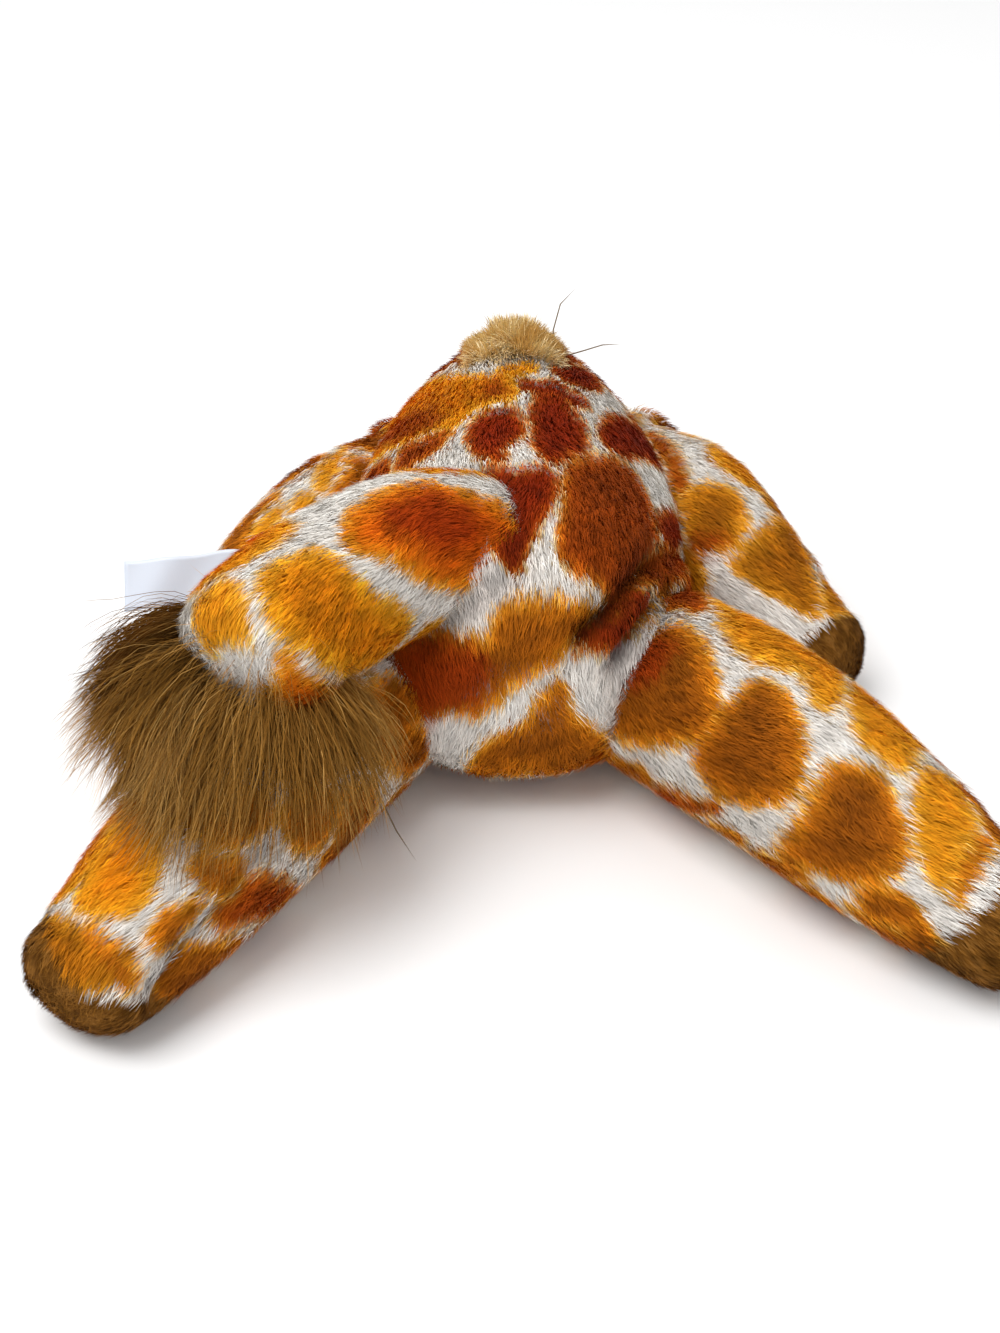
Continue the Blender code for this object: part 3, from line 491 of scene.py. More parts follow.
def torso_rings():
    rings = []
    for share in np.linspace(0, 1, 90):
        wide, low, high = smooth_between(TORSO_STATIONS, share)
        y = TORSO_REAR + (TORSO_FRONT - TORSO_REAR) * share
        low, high = TORSO_HEIGHT * low + PILE_RISE, TORSO_HEIGHT * high - PILE_RISE
        half_width = TORSO_WIDTH / 2 * wide - PILE_RISE
        rings.append((y * 1000, (0, y, (low + high) / 2), (0, 1, 0), half_width, (high - low) / 2))
    first, last = rings[0], rings[-1]
    cap_depth = 0.004
    start = (first[0], (0, first[1][1] + PILE_RISE - cap_depth, first[1][2]), (0, 1, 0), 0, 0)
    end = (last[0], (0, last[1][1] - PILE_RISE + cap_depth, last[1][2]), (0, 1, 0), 0, 0)
    inner = []
    for r in rings:
        y = np.clip(r[1][1], first[1][1] + PILE_RISE, last[1][1] - PILE_RISE)
        inner.append((r[0], (0, y, r[1][2]), *r[2:]))
    return [start] + inner + [end]


torso = stuffed_form("torso_padding", torso_rings(), sides=144, flat_share=0.35, ridge_share=0.22)
# The folds: a path in mm, then how deep and how wide the cloth is drawn in, in metres. One is a ridge.
TORSO_FOLDS = (
    (((59, -49, 90), (51, -68, 93), (44, -83, 91), (36, -94, 89), (30, -99, 86)), 0.0130, 0.0062),
    (((66, -51, 78), (58, -71, 81), (49, -88, 79), (43, -96, 74)), 0.0110, 0.0050),
    (((61, -52, 85), (51, -76, 86), (41, -93, 84), (32, -101, 80)), -0.0050, 0.0035),
    (((21, -106, 78), (13, -107, 65), (3, -109, 50), (-6, -107, 38)), 0.0020, 0.0030),
    (
        (
            (-14, -39, 124), (-5, -57, 123), (2, -72, 119), (1, -85, 114), (-7, -95, 105),
            (-22, -97, 97), (-37, -98, 81),
        ),
        0.0050, 0.0060,
    ),
    (((68, 43, 73), (72, 26, 65), (73, -3, 65), (61, -48, 87)), 0.0030, 0.0045),
)


def in_metres(folds):
    return [([np.array(p) / 1000 for p in path], depth, width) for path, depth, width in folds]


# The folds also darken the colour along them to a painted shade.
press_folds(torso, in_metres(TORSO_FOLDS))

# Patches of the torso, and those of the rump behind it, which are given in mm across and up.
TORSO_PATCHES = [
    ("rust", [
        -96, -180, -86, -187, -74, -186, -61, -185, -55, -173, -61, -162, -74, -161, -88, -157, -97,
        -167
    ]),
    ("rust", [
        -95, -150, -81, -154, -71, -156, -58, -154, -52, -143, -58, -132, -71, -129, -81, -131, -95,
        -136
    ]),
    ("rust", [
        -97, -119, -88, -129, -76, -125, -64, -124, -58, -114, -64, -103, -76, -102, -87, -101, -97,
        -108
    ]),
    ("rust", [-95, -90, -84, -95, -74, -97, -62, -95, -57, -84, -62, -74, -74, -73, -85, -72, -96, -78]),
    ("rust", [-95, -61, -83, -67, -72, -67, -59, -65, -52, -54, -59, -43, -72, -42, -83, -42, -95, -48]),
    ("rust", [-96, -29, -87, -38, -74, -36, -61, -35, -55, -23, -61, -12, -74, -10, -86, -9, -97, -17]),
    ("rust", [-97, 122, -88, 113, -75, 116, -63, 117, -57, 128, -63, 139, -75, 140, -87, 142, -97, 134]),
    ("rust", [-95, 151, -83, 147, -73, 146, -61, 147, -56, 157, -61, 168, -74, 168, -83, 168, -95, 163]),
    ("rust", [
        -51, -164, -41, -171, -30, -171, -18, -168, -15, -158, -19, -148, -30, -143, -41, -145, -49,
        -153
    ]),
    ("rust", [
        -51, -131, -43, -139, -32, -138, -20, -136, -16, -126, -20, -116, -32, -113, -42, -114, -52,
        -120
    ]),
    ("rust", [
        -54, -103, -45, -110, -34, -108, -23, -107, -17, -97, -23, -87, -34, -86, -45, -85, -53, -92
    ]),
    ("rust", [-52, -74, -42, -80, -31, -81, -19, -79, -16, -68, -21, -59, -31, -55, -43, -55, -50, -63]),
    ("rust", [-51, -42, -42, -49, -31, -50, -20, -46, -16, -36, -19, -26, -31, -22, -42, -24, -51, -31]),
    ("rust", [-53, -12, -45, -19, -35, -18, -24, -17, -17, -7, -27, 0, -35, 3, -46, 6, -53, -2]),
    ("rust", [-53, 138, -43, 131, -33, 132, -21, 133, -15, 143, -21, 153, -32, 155, -43, 156, -52, 149]),
    ("rust", [-51, 166, -41, 161, -30, 160, -19, 162, -15, 172, -19, 182, -31, 184, -41, 184, -50, 178]),
    ("rust", [-11, -178, 0, -183, 9, -183, 20, -182, 25, -173, 21, -163, 9, -162, -1, -162, -10, -168]),
    ("rust", [-11, -149, -5, -157, 6, -157, 18, -154, 21, -144, 16, -135, 6, -132, -5, -131, -13, -139]),
    ("rust", [-12, -119, -5, -126, 6, -127, 17, -124, 21, -114, 17, -104, 6, -102, -5, -101, -14, -108]),
    ("rust", [-12, -89, -3, -97, 8, -97, 18, -94, 24, -84, 19, -74, 8, -72, -3, -71, -11, -79]),
    ("rust", [-14, -59, -5, -66, 5, -66, 16, -63, 21, -54, 17, -44, 5, -42, -5, -41, -14, -48]),
    ("rust", [-11, -28, -4, -36, 7, -36, 18, -33, 23, -23, 18, -13, 7, -11, -4, -11, -13, -17]),
    ("rust", [-12, 128, -11, 119, 0, 117, 3, 127, 5, 131, 10, 140, 0, 142, -8, 140, -12, 134]),
    ("rust", [-11, 154, -4, 146, 7, 147, 17, 150, 23, 159, 18, 169, 7, 171, -3, 172, -11, 164]),
    ("rust", [28, -162, 36, -169, 47, -168, 58, -166, 62, -157, 58, -147, 47, -143, 37, -145, 27, -151]),
    ("rust", [23, -134, 32, -142, 43, -139, 53, -138, 59, -128, 54, -118, 43, -117, 33, -117, 25, -123]),
    ("rust", [24, -104, 33, -112, 44, -111, 55, -108, 59, -98, 55, -88, 44, -85, 33, -86, 25, -93]),
    ("rust", [25, -72, 33, -79, 44, -80, 55, -77, 59, -67, 54, -58, 44, -55, 33, -54, 24, -62]),
    ("rust", [24, -42, 32, -50, 43, -49, 53, -47, 58, -37, 53, -28, 43, -25, 32, -25, 25, -32]),
    ("rust", [25, -12, 33, -19, 44, -20, 55, -16, 59, -7, 56, 4, 44, 6, 34, 5, 24, -1]),
    ("rust", [26, 171, 34, 162, 44, 171, 58, 166, 60, 176, 55, 185, 45, 185, 36, 186, 29, 181]),
    ("rust", [66, -180, 76, -186, 86, -185, 99, -185, 104, -174, 100, -163, 86, -163, 76, -162, 65, -168]),
    ("rust", [66, -150, 75, -158, 87, -157, 100, -156, 104, -144, 100, -132, 87, -132, 75, -130, 64, -138]),
    ("rust", [63, -120, 74, -127, 85, -125, 100, -126, 104, -113, 99, -101, 85, -101, 73, -99, 63, -107]),
    ("rust", [64, -89, 76, -95, 87, -95, 101, -95, 104, -83, 101, -70, 87, -69, 76, -70, 64, -76]),
    ("rust", [62, -58, 71, -68, 84, -64, 97, -64, 104, -52, 99, -40, 84, -39, 72, -38, 62, -46]),
    ("rust", [61, -29, 74, -34, 85, -34, 99, -35, 104, -22, 98, -10, 85, -11, 73, -9, 62, -16]),
    ("rust", [65, 1, 76, -5, 86, -4, 99, -4, 104, 7, 98, 18, 86, 18, 74, 21, 65, 13]),
    ("rust", [68, 31, 78, 24, 89, 24, 102, 25, 104, 37, 102, 48, 89, 49, 78, 49, 66, 43]),
    ("rust", [67, 61, 75, 53, 86, 55, 99, 56, 104, 67, 99, 77, 86, 78, 75, 80, 65, 73]),
    ("rust", [66, 89, 78, 82, 90, 83, 101, 85, 104, 96, 102, 107, 90, 109, 78, 109, 73, 100]),
    ("rust", [67, 122, 78, 115, 90, 116, 102, 117, 104, 128, 102, 139, 90, 142, 79, 140, 70, 133]),
    ("rust", [73, 155, 80, 149, 89, 148, 101, 149, 104, 159, 100, 169, 89, 169, 79, 170, 67, 166]),
    ("back", [16, 81, 24, 71, 17, 65, 2, 60, -11, 59, -25, 66, -35, 73, -30, 79, -16, 82, 0, 83]),
    ("back", [
        6, 99, 7, 90, -5, 86, -15, 85, -22, 90, -26, 94, -36, 94, -34, 98, -25, 105, -12, 109, 0, 108
    ]),
    ("back", [21, 51, 34, 43, 48, 30, 56, 15, 41, 12, 34, 10, 30, 17, 20, 28, -1, 43, -3, 50, 6, 53]),
    ("rust", [
        -29, 66, -13, 53, -5, 42, -9, 34, -23, 28, -36, 27, -56, 24, -75, 28, -84, 30, -85, 46, -89, 58,
        -85, 67, -72, 69, -57, 69, -42, 69
    ]),
    ("back", [
        -45, 89, -39, 82, -39, 75, -47, 72, -58, 74, -66, 78, -77, 80, -88, 84, -94, 89, -82, 100, -66,
        102, -48, 106, -35, 101
    ]),
    ("amber", [
        63, 160, 70, 152, 78, 145, 53, 122, 39, 103, 34, 90, 20, 88, 12, 91, 10, 102, 6, 110, 0, 114,
        10, 132, 16, 142, 30, 159, 43, 168, 53, 162
    ]),
    ("core", [53, 168, 58, 160, 36, 134, 15, 118, 5, 123, 19, 143]),
    ("core", [33, 105, 35, 96, 23, 90, 14, 94, 18, 104]),
    ("amber", [43, 99, 48, 90, 50, 81, 45, 77, 34, 88, 36, 96]),
    ("back", [49, 75, 63, 62, 69, 50, 59, 45, 42, 57, 40, 68]),
    ("back", [30, 89, 33, 77, 35, 64, 26, 56, 17, 62, 23, 71, 20, 84]),
    ("rust", [68, 121, 71, 107, 68, 94, 57, 99, 58, 113]),
    ("rust", [57, 35, 65, 20, 53, 12, 31, 7, 2, 5, -10, 0, 17, 5, 34, 12, 42, 25]),
    ("back", [-24, 26, 1, 13, 5, 5, -5, 0, -31, 16, -35, 26]),
    ("rust", [53, 165, 63, 158, 70, 155, 58, 162, 48, 168]),
    ("rust", [-40, 24, -30, 17, -12, 0, -19, 0, -41, 9, -57, 12, -66, 26]),
]
RUMP_PATCHES = [
    ("leg", [
        1, 97, 12, 97, 24, 95, 32, 88, 29, 80, 20, 82, 13, 74, 3, 66, -6, 55, -22, 49, -35, 49, -50, 45,
        -53, 58, -37, 80, -21, 83, -10, 85, -5, 93
    ]),
    ("leg", [
        3, 47, 9, 59, 19, 66, 23, 58, 25, 47, 33, 42, 36, 23, 23, 20, 2, 22, -18, 20, -16, 34, -6, 42
    ]),
    ("back", [49, 85, 59, 81, 63, 79, 56, 79, 42, 74, 29, 79, 21, 78, 29, 81, 38, 84, 45, 86]),
    # A painted shadow cast by the tail on the rump, over the brown patch there.
    ("core", [-60, 73, -37, 80, -18, 84, -7, 78, -10, 56, -30, 46, -56, 36]),
]

torso_colour = patched(TORSO_PATCHES, 66, RUMP_PATCHES)
dye_with_painted_shade(torso, torso_colour)
for part, low, high in (("rear", -999, 5), ("front", 5, 999)):
    pile(
        "torso_pile_" + part, torso, 66000, COAT, fixed(0, -1, -0.35), torso_colour, "torso", 100 + high,
        keep=lambda places, along, turn: (along >= low) & (along < high),
    )
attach(torso, "torso")
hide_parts("torso_skin", "torso_fill", "belly_pouch")

# Legs. Four tapered tubes of the same plush, stuffed less firmly than the torso, each sewn on at a ball of
# stuffing and closed with a cap of short brown pile that holds a few pellets.

HOOF_LENGTH, HOOF_RADIUS, ANKLE_RADIUS = 0.036, 0.0272, 0.0285
FLAT = 0.0005
# Root, splay in degrees, radius at the root and where thickest, length, then how far the thigh swells up
# and out, how far the foot bends away from the middle line, and how much it spreads.
LEGS = {
    "rear_leg_left": ((-0.048, -0.060, 0.040), -30, 0.037, 0.0385, 0.203, 0.004, 0.007, 0.007, 0.0045),
    "rear_leg_right": ((0.048, -0.060, 0.040), 42, 0.037, 0.0385, 0.203, 0.009, 0.006, 0.003, 0.001),
    "front_leg_left": ((-0.050, 0.082, 0.040), -41, 0.034, 0.0365, 0.150, 0.007, 0.002, -0.009, 0.001),
    "front_leg_right": ((0.050, 0.082, 0.040), 41, 0.034, 0.0365, 0.150, 0.010, 0.008, -0.013, 0.001),
}


def leg_rings(root, splay, ball, thick, length, swell_up, swell_out, bend, spread):
    """The rings of a leg: a ball at its root, a tapered tube, and a blunt cap for the hoof."""
    angle = math.radians(splay)
    along = np.array([math.sin(angle), -math.cos(angle), 0])
    outward = np.array([math.cos(angle), math.sin(angle), 0]) * (1 if splay > 0 else -1)
    seam = length - HOOF_LENGTH
    middle = seam + 0.5 * HOOF_LENGTH
    hoof = HOOF_RADIUS - 0.002
    stations = (
        (0, ball),
        (0.34 * seam, thick),
        (0.64 * seam, 0.985 * thick),
        (0.86 * seam, 0.5 * (thick + ANKLE_RADIUS)),
        (seam, ANKLE_RADIUS),
        (middle, hoof),
    )

    def ring(t, radius, share=1.0):
        rise = min(max((t + ball) / 0.030, 0), 1)
        fade = min(max((0.85 * seam - t) / (0.60 * seam), 0), 1)
        swell = (3 * rise**2 - 2 * rise**3) * (3 * fade**2 - 2 * fade**3)
        high = (radius - PILE_RISE + swell_up / 2 * swell) * share
        widening = spread * min(max(t / length - 0.55, 0) / 0.3, 1)
        wide = (radius - PILE_RISE + swell_out / 2 * swell + widening) * share
        low = root[2] - ball if t < 0 else -FLAT
        centre_z = low + radius + swell_up / 2 * swell
        sideways = outward * (bend * max(t / length, 0) ** 1.5 + swell_out / 2 * swell)
        centre = np.array((root[0], root[1], centre_z)) + along * t + sideways
        return (t * 1000, centre, along, wide, high)

    rings = []
    for angle in np.linspace(-math.pi / 2, 0, 10)[:-1]:
        rings.append(ring((ball - PILE_RISE) * math.sin(angle), ball, math.cos(angle)))
    for t in np.linspace(0, middle, 44):
        rings.append(ring(t, smooth_between(stations, t)[0]))
    tip = length - PILE_RISE * 0.8 - middle
    for angle in np.linspace(0, math.pi / 2, 12)[1:]:
        rings.append(ring(middle + tip * math.sin(angle), hoof, max(math.cos(angle), 0) ** 0.52))
    return rings


legs = {name: stuffed_form(name + "_padding", leg_rings(*sizes)) for name, sizes in LEGS.items()}
# A deep crease runs down the back of the left leg along its seam, and the right thigh is tucked under the
# hip fold.
CREASE = (
    (-78, -172, 56), (-91, -192, 50), (-97, -200, 46), (-105, -209, 41), (-114, -219, 35), (-121, -229, 26)
)
HIP_TUCK = ((65, -36, 64), (58, -67, 78), (50, -83, 76), (43, -90, 69))
LEG_FOLDS = {
    "rear_leg_left": in_metres(((CREASE, 0.0075, 0.0036),)),
    "rear_leg_right": in_metres(((HIP_TUCK, 0.0060, 0.0055),)),
}
# Each fold also darkens the colour along it to a painted shade.
for name, folds in LEG_FOLDS.items():
    press_folds(legs[name], folds)

# Patches of each leg, with the place along in mm and the angle round in degrees.
LEG_PATCHES = {
    "rear_leg_left": [
        ("leg", [
            -13, -172, -1, -185, 10, -188, 24, -183, 28, -159, 24, -135, 10, -130, -2, -132, -14, -146
        ]),
        ("leg", [-15, -105, -4, -124, 10, -120, 23, -115, 30, -91, 23, -68, 10, -60, -3, -62, -14, -78]),
        ("leg", [-15, -33, -7, -55, 8, -50, 20, -43, 26, -21, 22, 5, 8, 8, -6, 12, -15, -8]),
        ("leg", [-15, 38, -4, 20, 9, 19, 24, 26, 28, 52, 22, 75, 10, 86, -5, 85, -15, 65]),
        ("leg", [-15, 118, -8, 94, 8, 96, 20, 106, 26, 130, 21, 154, 8, 163, -8, 167, -15, 142]),
        ("leg", [32, -137, 40, -154, 53, -162, 64, -147, 69, -126, 63, -106, 53, -94, 40, -96, 32, -115]),
        ("leg", [29, -62, 38, -80, 51, -83, 64, -73, 69, -50, 63, -28, 51, -18, 37, -18, 29, -38]),
        ("leg", [30, 9, 40, -7, 52, -9, 64, 0, 69, 21, 64, 42, 52, 52, 40, 49, 32, 32]),
        ("leg", [28, 79, 36, 62, 48, 62, 60, 69, 66, 90, 61, 113, 48, 117, 36, 118, 26, 102]),
        ("leg", [33, 135, 42, 128, 50, 127, 61, 127, 69, 145, 65, 170, 53, 191, 42, 165, 29, 158]),
        ("leg", [
            67, -171, 74, -194, 90, -196, 96, -174, 105, -159, 99, -140, 88, -136, 78, -136, 71, -149
        ]),
        ("leg", [70, -104, 78, -122, 91, -126, 103, -116, 108, -93, 102, -73, 91, -60, 78, -63, 69, -81]),
        ("leg", [70, -27, 77, -46, 90, -49, 101, -37, 105, -16, 101, 4, 90, 18, 77, 13, 69, -5]),
        ("leg", [69, 47, 76, 31, 88, 29, 99, 37, 104, 58, 99, 78, 88, 83, 75, 86, 67, 69]),
        ("leg", [70, 109, 80, 96, 91, 93, 103, 99, 108, 121, 101, 140, 91, 150, 78, 149, 71, 132]),
        ("leg", [
            107, -139, 116, -156, 128, -150, 140, -149, 144, -128, 138, -109, 128, -99, 117, -102, 110,
            -118
        ]),
        ("leg", [107, -66, 115, -85, 128, -89, 138, -75, 144, -55, 140, -33, 128, -24, 115, -27, 106, -44]),
        ("leg", [107, 6, 114, -11, 126, -14, 138, -6, 143, 16, 137, 37, 126, 46, 113, 46, 104, 28]),
        ("leg", [145, -163, 175, -194, 190, -176, 186, -147, 183, -129, 172, -130, 164, -129, 150, -135]),
        ("leg", [
            144, -104, 154, -121, 167, -119, 182, -116, 186, -91, 182, -65, 168, -61, 155, -61, 145, -78
        ]),
        ("leg", [147, -32, 157, -49, 170, -50, 185, -46, 186, -20, 184, 5, 170, 11, 157, 11, 146, -6]),
        ("amber", [
            135, 45, 130, 58, 135, 83, 145, 95, 158, 107, 168, 114, 178, 112, 185, 90, 184, 70, 170, 60,
            155, 56, 142, 45
        ]),
        ("leg", [152, 123, 144, 135, 136, 148, 139, 154, 147, 162, 154, 145, 155, 133]),
        ("leg", [177, 129, 169, 132, 162, 142, 157, 147, 163, 150, 172, 156, 178, 153, 181, 141]),
        ("leg", [190, 78, 189, 96, 190, 122, 189, 145, 191, 158, 196, 160, 199, 128, 196, 95]),
        ("rust", [137, 160, 126, 181, 118, 201, 128, 205, 146, 185, 157, 172, 159, 167, 150, 163]),
        ("leg", [166, -190, 155, -175, 151, -152, 160, -148, 169, -148, 180, -168, 179, -175, 176, -200]),
        ("leg", [139, 88, 132, 94, 122, 110, 115, 131, 120, 144, 131, 144, 142, 131, 145, 115, 144, 99]),
        ("leg", [89, -189, 74, -175, 72, -163, 88, -176]),
        ("leg", [109, 139, 93, 151, 94, 176, 106, 189, 122, 162]),
        ("leg", [52, 158, 29, 176, 31, 197, 48, 199, 65, 166]),
        ("amber", [128, -22, 126, 10, 128, 58, 150, 60, 168, 62, 181, 58, 180, 20, 172, -12, 150, -25]),
        ("honey", [187, 30, 188, 70, 190, 100, 192, 148, 200, 150, 212, 125, 212, 90, 206, 62, 198, 36]),
    ],
    "rear_leg_right": [
        ("leg", [-15, -177, -3, -192, 9, -191, 22, -185, 30, -163, 24, -138, 9, -135, -3, -133, -14, -150]),
        ("leg", [-15, -108, -2, -123, 10, -123, 24, -118, 31, -94, 24, -70, 11, -62, -2, -64, -14, -80]),
        ("leg", [-15, -31, -9, -53, 5, -52, 14, -38, 28, -20, 16, -1, 5, 10, -8, 9, -15, -10]),
        ("leg", [-15, 44, -9, 24, 4, 21, 14, 35, 13, 54, 19, 81, 4, 83, -9, 83, -15, 64]),
        ("leg", [-16, 121, -10, 96, 6, 93, 27, 133, 18, 156, 4, 156, -6, 158, -16, 144]),
        ("leg", [32, -136, 40, -153, 52, -157, 63, -146, 67, -126, 63, -106, 52, -94, 40, -98, 33, -116]),
        ("leg", [33, -73, 40, -84, 49, -83, 58, -81, 66, -64, 60, -45, 48, -49, 40, -44, 29, -53]),
        ("leg", [29, 153, 37, 136, 49, 135, 60, 144, 66, 164, 60, 185, 49, 193, 37, 191, 30, 175]),
        ("leg", [
            68, -173, 76, -190, 88, -191, 99, -181, 105, -161, 100, -140, 89, -130, 76, -133, 69, -151
        ]),
        ("leg", [68, -101, 76, -119, 88, -121, 99, -111, 105, -91, 100, -70, 88, -63, 76, -63, 67, -79]),
        ("leg", [67, 140, 78, 139, 82, 139, 83, 146, 96, 149, 88, 160, 82, 159, 77, 161, 71, 155]),
        ("leg", [
            106, -136, 113, -154, 125, -157, 136, -146, 141, -126, 136, -106, 125, -94, 113, -97, 105,
            -115
        ]),
        ("leg", [106, -68, 116, -82, 127, -83, 137, -74, 142, -56, 138, -37, 128, -21, 119, -38, 106, -44]),
        ("leg", [102, 152, 114, 140, 126, 131, 138, 141, 142, 164, 136, 184, 125, 191, 114, 190, 105, 175]),
        ("leg", [
            142, -173, 152, -191, 166, -191, 179, -185, 181, -161, 180, -135, 166, -128, 153, -131, 143,
            -148
        ]),
        ("leg", [
            142, -103, 151, -121, 164, -118, 177, -114, 181, -91, 178, -66, 164, -63, 152, -62, 142, -78
        ]),
        ("leg", [146, -40, 158, -52, 168, -50, 180, -47, 181, -27, 184, -1, 170, 15, 163, -18, 140, -11]),
        ("leg", [146, 124, 161, 123, 168, 113, 185, 109, 181, 137, 179, 156, 168, 159, 159, 158, 147, 148]),
        ("leg", [
            25, 74, 32, 79, 46, 73, 57, 63, 67, 55, 71, 43, 70, 29, 59, 13, 42, 0, 28, -3, 18, 3, 13,
            12, 16, 24, 15, 38, 18, 57
        ]),
        ("core", [20, 26, 15, 38, 16, 58, 25, 69, 38, 65, 39, 45, 33, 29]),
        ("leg", [
            74, 73, 79, 77, 90, 75, 102, 66, 110, 51, 113, 38, 109, 26, 97, 10, 84, 0, 74, 2, 68, 13,
            68, 25, 72, 41, 72, 56
        ]),
        ("gold", [
            13, 129, 18, 129, 30, 122, 48, 129, 61, 129, 73, 135, 86, 129, 100, 107, 104, 89, 98, 83,
            89, 90, 81, 94, 71, 86, 64, 80, 52, 85, 38, 101, 18, 129
        ]),
        ("gold", [5, 129, 18, 122, 26, 122, 18, 129, 9, 129]),
        ("rust", [-10, 135, 5, 129, 9, 129, 30, 101, 32, 90, 17, 92, 5, 104]),
        ("gold", [
            86, 141, 95, 135, 104, 135, 112, 135, 121, 141, 131, 121, 138, 95, 135, 86, 127, 84, 119,
            84, 112, 91, 102, 105
        ]),
        ("leg", [
            120, 64, 127, 74, 135, 75, 146, 66, 154, 54, 159, 42, 156, 27, 146, 8, 139, -2, 126, -8,
            115, -17, 110, -11, 115, 7, 119, 25, 119, 42, 118, 55
        ]),
        ("gold", [
            140, 102, 139, 123, 150, 122, 161, 115, 167, 103, 171, 81, 173, 62, 174, 47, 170, 42, 163,
            48, 156, 63, 147, 80
        ]),
        ("leg", [145, 0, 153, 14, 162, 21, 169, 19, 171, 7, 161, -12, 151, -23, 146, -18]),
        ("rust", [39, -39, 57, -19, 71, -16, 84, -4, 78, -17, 56, -39, 43, -45]),
        ("leg", [61, -45, 83, -22, 96, -16, 86, -39, 73, -39]),
        ("leg", [91, -45, 110, -13, 122, -9, 126, -16, 108, -45, 99, -39]),
        ("leg", [20, -31, 47, -12, 44, -36, 26, -45, 13, -45]),
        ("leg", [168, 105, 175, 109, 178, 67, 181, 38, 176, 48, 174, 70]),
    ],
    "front_leg_left": [
        ("leg", [
            -13, -178, 0, -188, 10, -188, 23, -189, 30, -165, 23, -141, 10, -139, -1, -139, -13, -151
        ]),
        ("leg", [-13, -118, 1, -128, 11, -129, 24, -128, 30, -104, 24, -81, 11, -80, 1, -80, -13, -90]),
        ("leg", [-14, -57, -3, -73, 10, -69, 22, -65, 30, -43, 24, -16, 10, -16, -2, -16, -14, -29]),
        ("leg", [-14, 5, -3, -9, 8, -5, 21, -5, 28, 18, 20, 40, 8, 42, -2, 43, -15, 31]),
        ("leg", [-13, 65, 8, 74, 12, 49, 27, 54, 28, 80, 23, 100, 11, 97, 4, 96, -11, 93]),
        ("leg", [-15, 121, -4, 104, 8, 108, 22, 111, 28, 135, 22, 159, 8, 161, -4, 164, -15, 148]),
        ("leg", [33, -147, 41, -165, 53, -163, 63, -156, 69, -136, 64, -115, 52, -110, 41, -109, 33, -126]),
        ("leg", [33, -85, 42, -99, 53, -100, 65, -95, 70, -73, 65, -52, 53, -49, 41, -45, 32, -61]),
        ("leg", [35, -23, 45, -35, 56, -38, 68, -33, 72, -11, 67, 11, 56, 16, 45, 14, 34, 1]),
        ("leg", [33, 36, 44, 24, 53, 27, 65, 27, 69, 47, 64, 67, 53, 70, 44, 70, 35, 58]),
        ("leg", [31, 101, 38, 86, 47, 102, 52, 102, 67, 111, 56, 126, 47, 124, 41, 125, 33, 119]),
        ("leg", [33, 149, 43, 136, 54, 134, 67, 138, 70, 160, 65, 181, 54, 185, 43, 187, 33, 172]),
        ("leg", [
            72, -178, 82, -195, 95, -190, 109, -190, 115, -165, 109, -139, 95, -138, 82, -134, 72, -152
        ]),
        ("leg", [74, -116, 86, -127, 97, -127, 111, -128, 115, -103, 110, -79, 97, -78, 85, -75, 74, -89]),
        ("leg", [75, -57, 88, -67, 97, -67, 111, -68, 115, -44, 111, -21, 97, -22, 88, -22, 76, -32]),
        ("leg", [77, 1, 87, -14, 98, -11, 111, -9, 115, 13, 112, 38, 98, 38, 88, 36, 75, 27]),
        ("leg", [75, 50, 84, 44, 89, 47, 97, 45, 114, 59, 106, 86, 89, 68, 86, 67, 70, 70]),
        ("leg", [75, 118, 88, 108, 99, 104, 113, 106, 115, 132, 113, 157, 99, 159, 88, 157, 76, 145]),
        ("gold", [62, 89, 39, 74, 32, 74, 50, 97, 64, 102]),
        ("gold", [82, 94, 71, 88, 64, 94, 74, 106, 86, 103]),
        ("gold", [97, 75, 82, 73, 77, 84, 88, 93, 97, 91]),
        ("gold", [113, 67, 100, 67, 101, 82, 111, 87]),
        ("rust", [20, 69, -9, 45, -9, 71, 7, 66, 32, 83]),
    ],
    "front_leg_right": [
        ("honey", [
            -13, -177, -2, -186, 7, -189, 18, -186, 23, -166, 18, -146, 7, -142, -3, -143, -13, -154
        ]),
        ("honey", [-15, -116, -7, -133, 5, -132, 16, -125, 21, -105, 18, -82, 5, -80, -7, -75, -15, -94]),
        ("honey", [-13, -58, -1, -67, 8, -70, 20, -68, 25, -46, 19, -26, 8, -21, -2, -23, -13, -33]),
        ("honey", [-14, 1, -4, -12, 7, -11, 18, -7, 24, 13, 19, 35, 7, 35, -3, 36, -14, 25]),
        ("honey", [-14, 58, -4, 46, 5, 48, 19, 46, 24, 70, 14, 86, 6, 96, -6, 97, -14, 81]),
        ("honey", [-14, 131, -5, 116, 7, 110, 18, 121, 21, 143, 15, 159, 6, 161, -3, 164, -14, 154]),
        ("honey", [
            24, -141, 31, -155, 42, -156, 52, -150, 56, -131, 51, -113, 42, -105, 31, -104, 24, -121
        ]),
        ("honey", [28, -82, 37, -93, 45, -97, 54, -89, 58, -72, 54, -55, 45, -48, 37, -53, 29, -64]),
        ("honey", [26, -25, 33, -39, 42, -39, 51, -33, 56, -16, 52, 2, 42, 7, 33, 7, 26, -7]),
        ("honey", [29, 30, 37, 19, 46, 16, 55, 22, 61, 40, 56, 58, 45, 59, 35, 65, 29, 50]),
        ("honey", [24, 156, 31, 138, 43, 142, 53, 149, 57, 167, 53, 187, 43, 194, 33, 191, 26, 176]),
        ("honey", [
            61, -174, 69, -188, 79, -188, 89, -182, 94, -163, 90, -143, 79, -137, 69, -139, 60, -152
        ]),
        ("honey", [59, -114, 66, -130, 77, -126, 88, -122, 93, -103, 88, -83, 77, -78, 67, -78, 60, -93]),
        ("honey", [61, -54, 68, -67, 77, -68, 88, -64, 93, -45, 87, -27, 77, -22, 67, -20, 59, -34]),
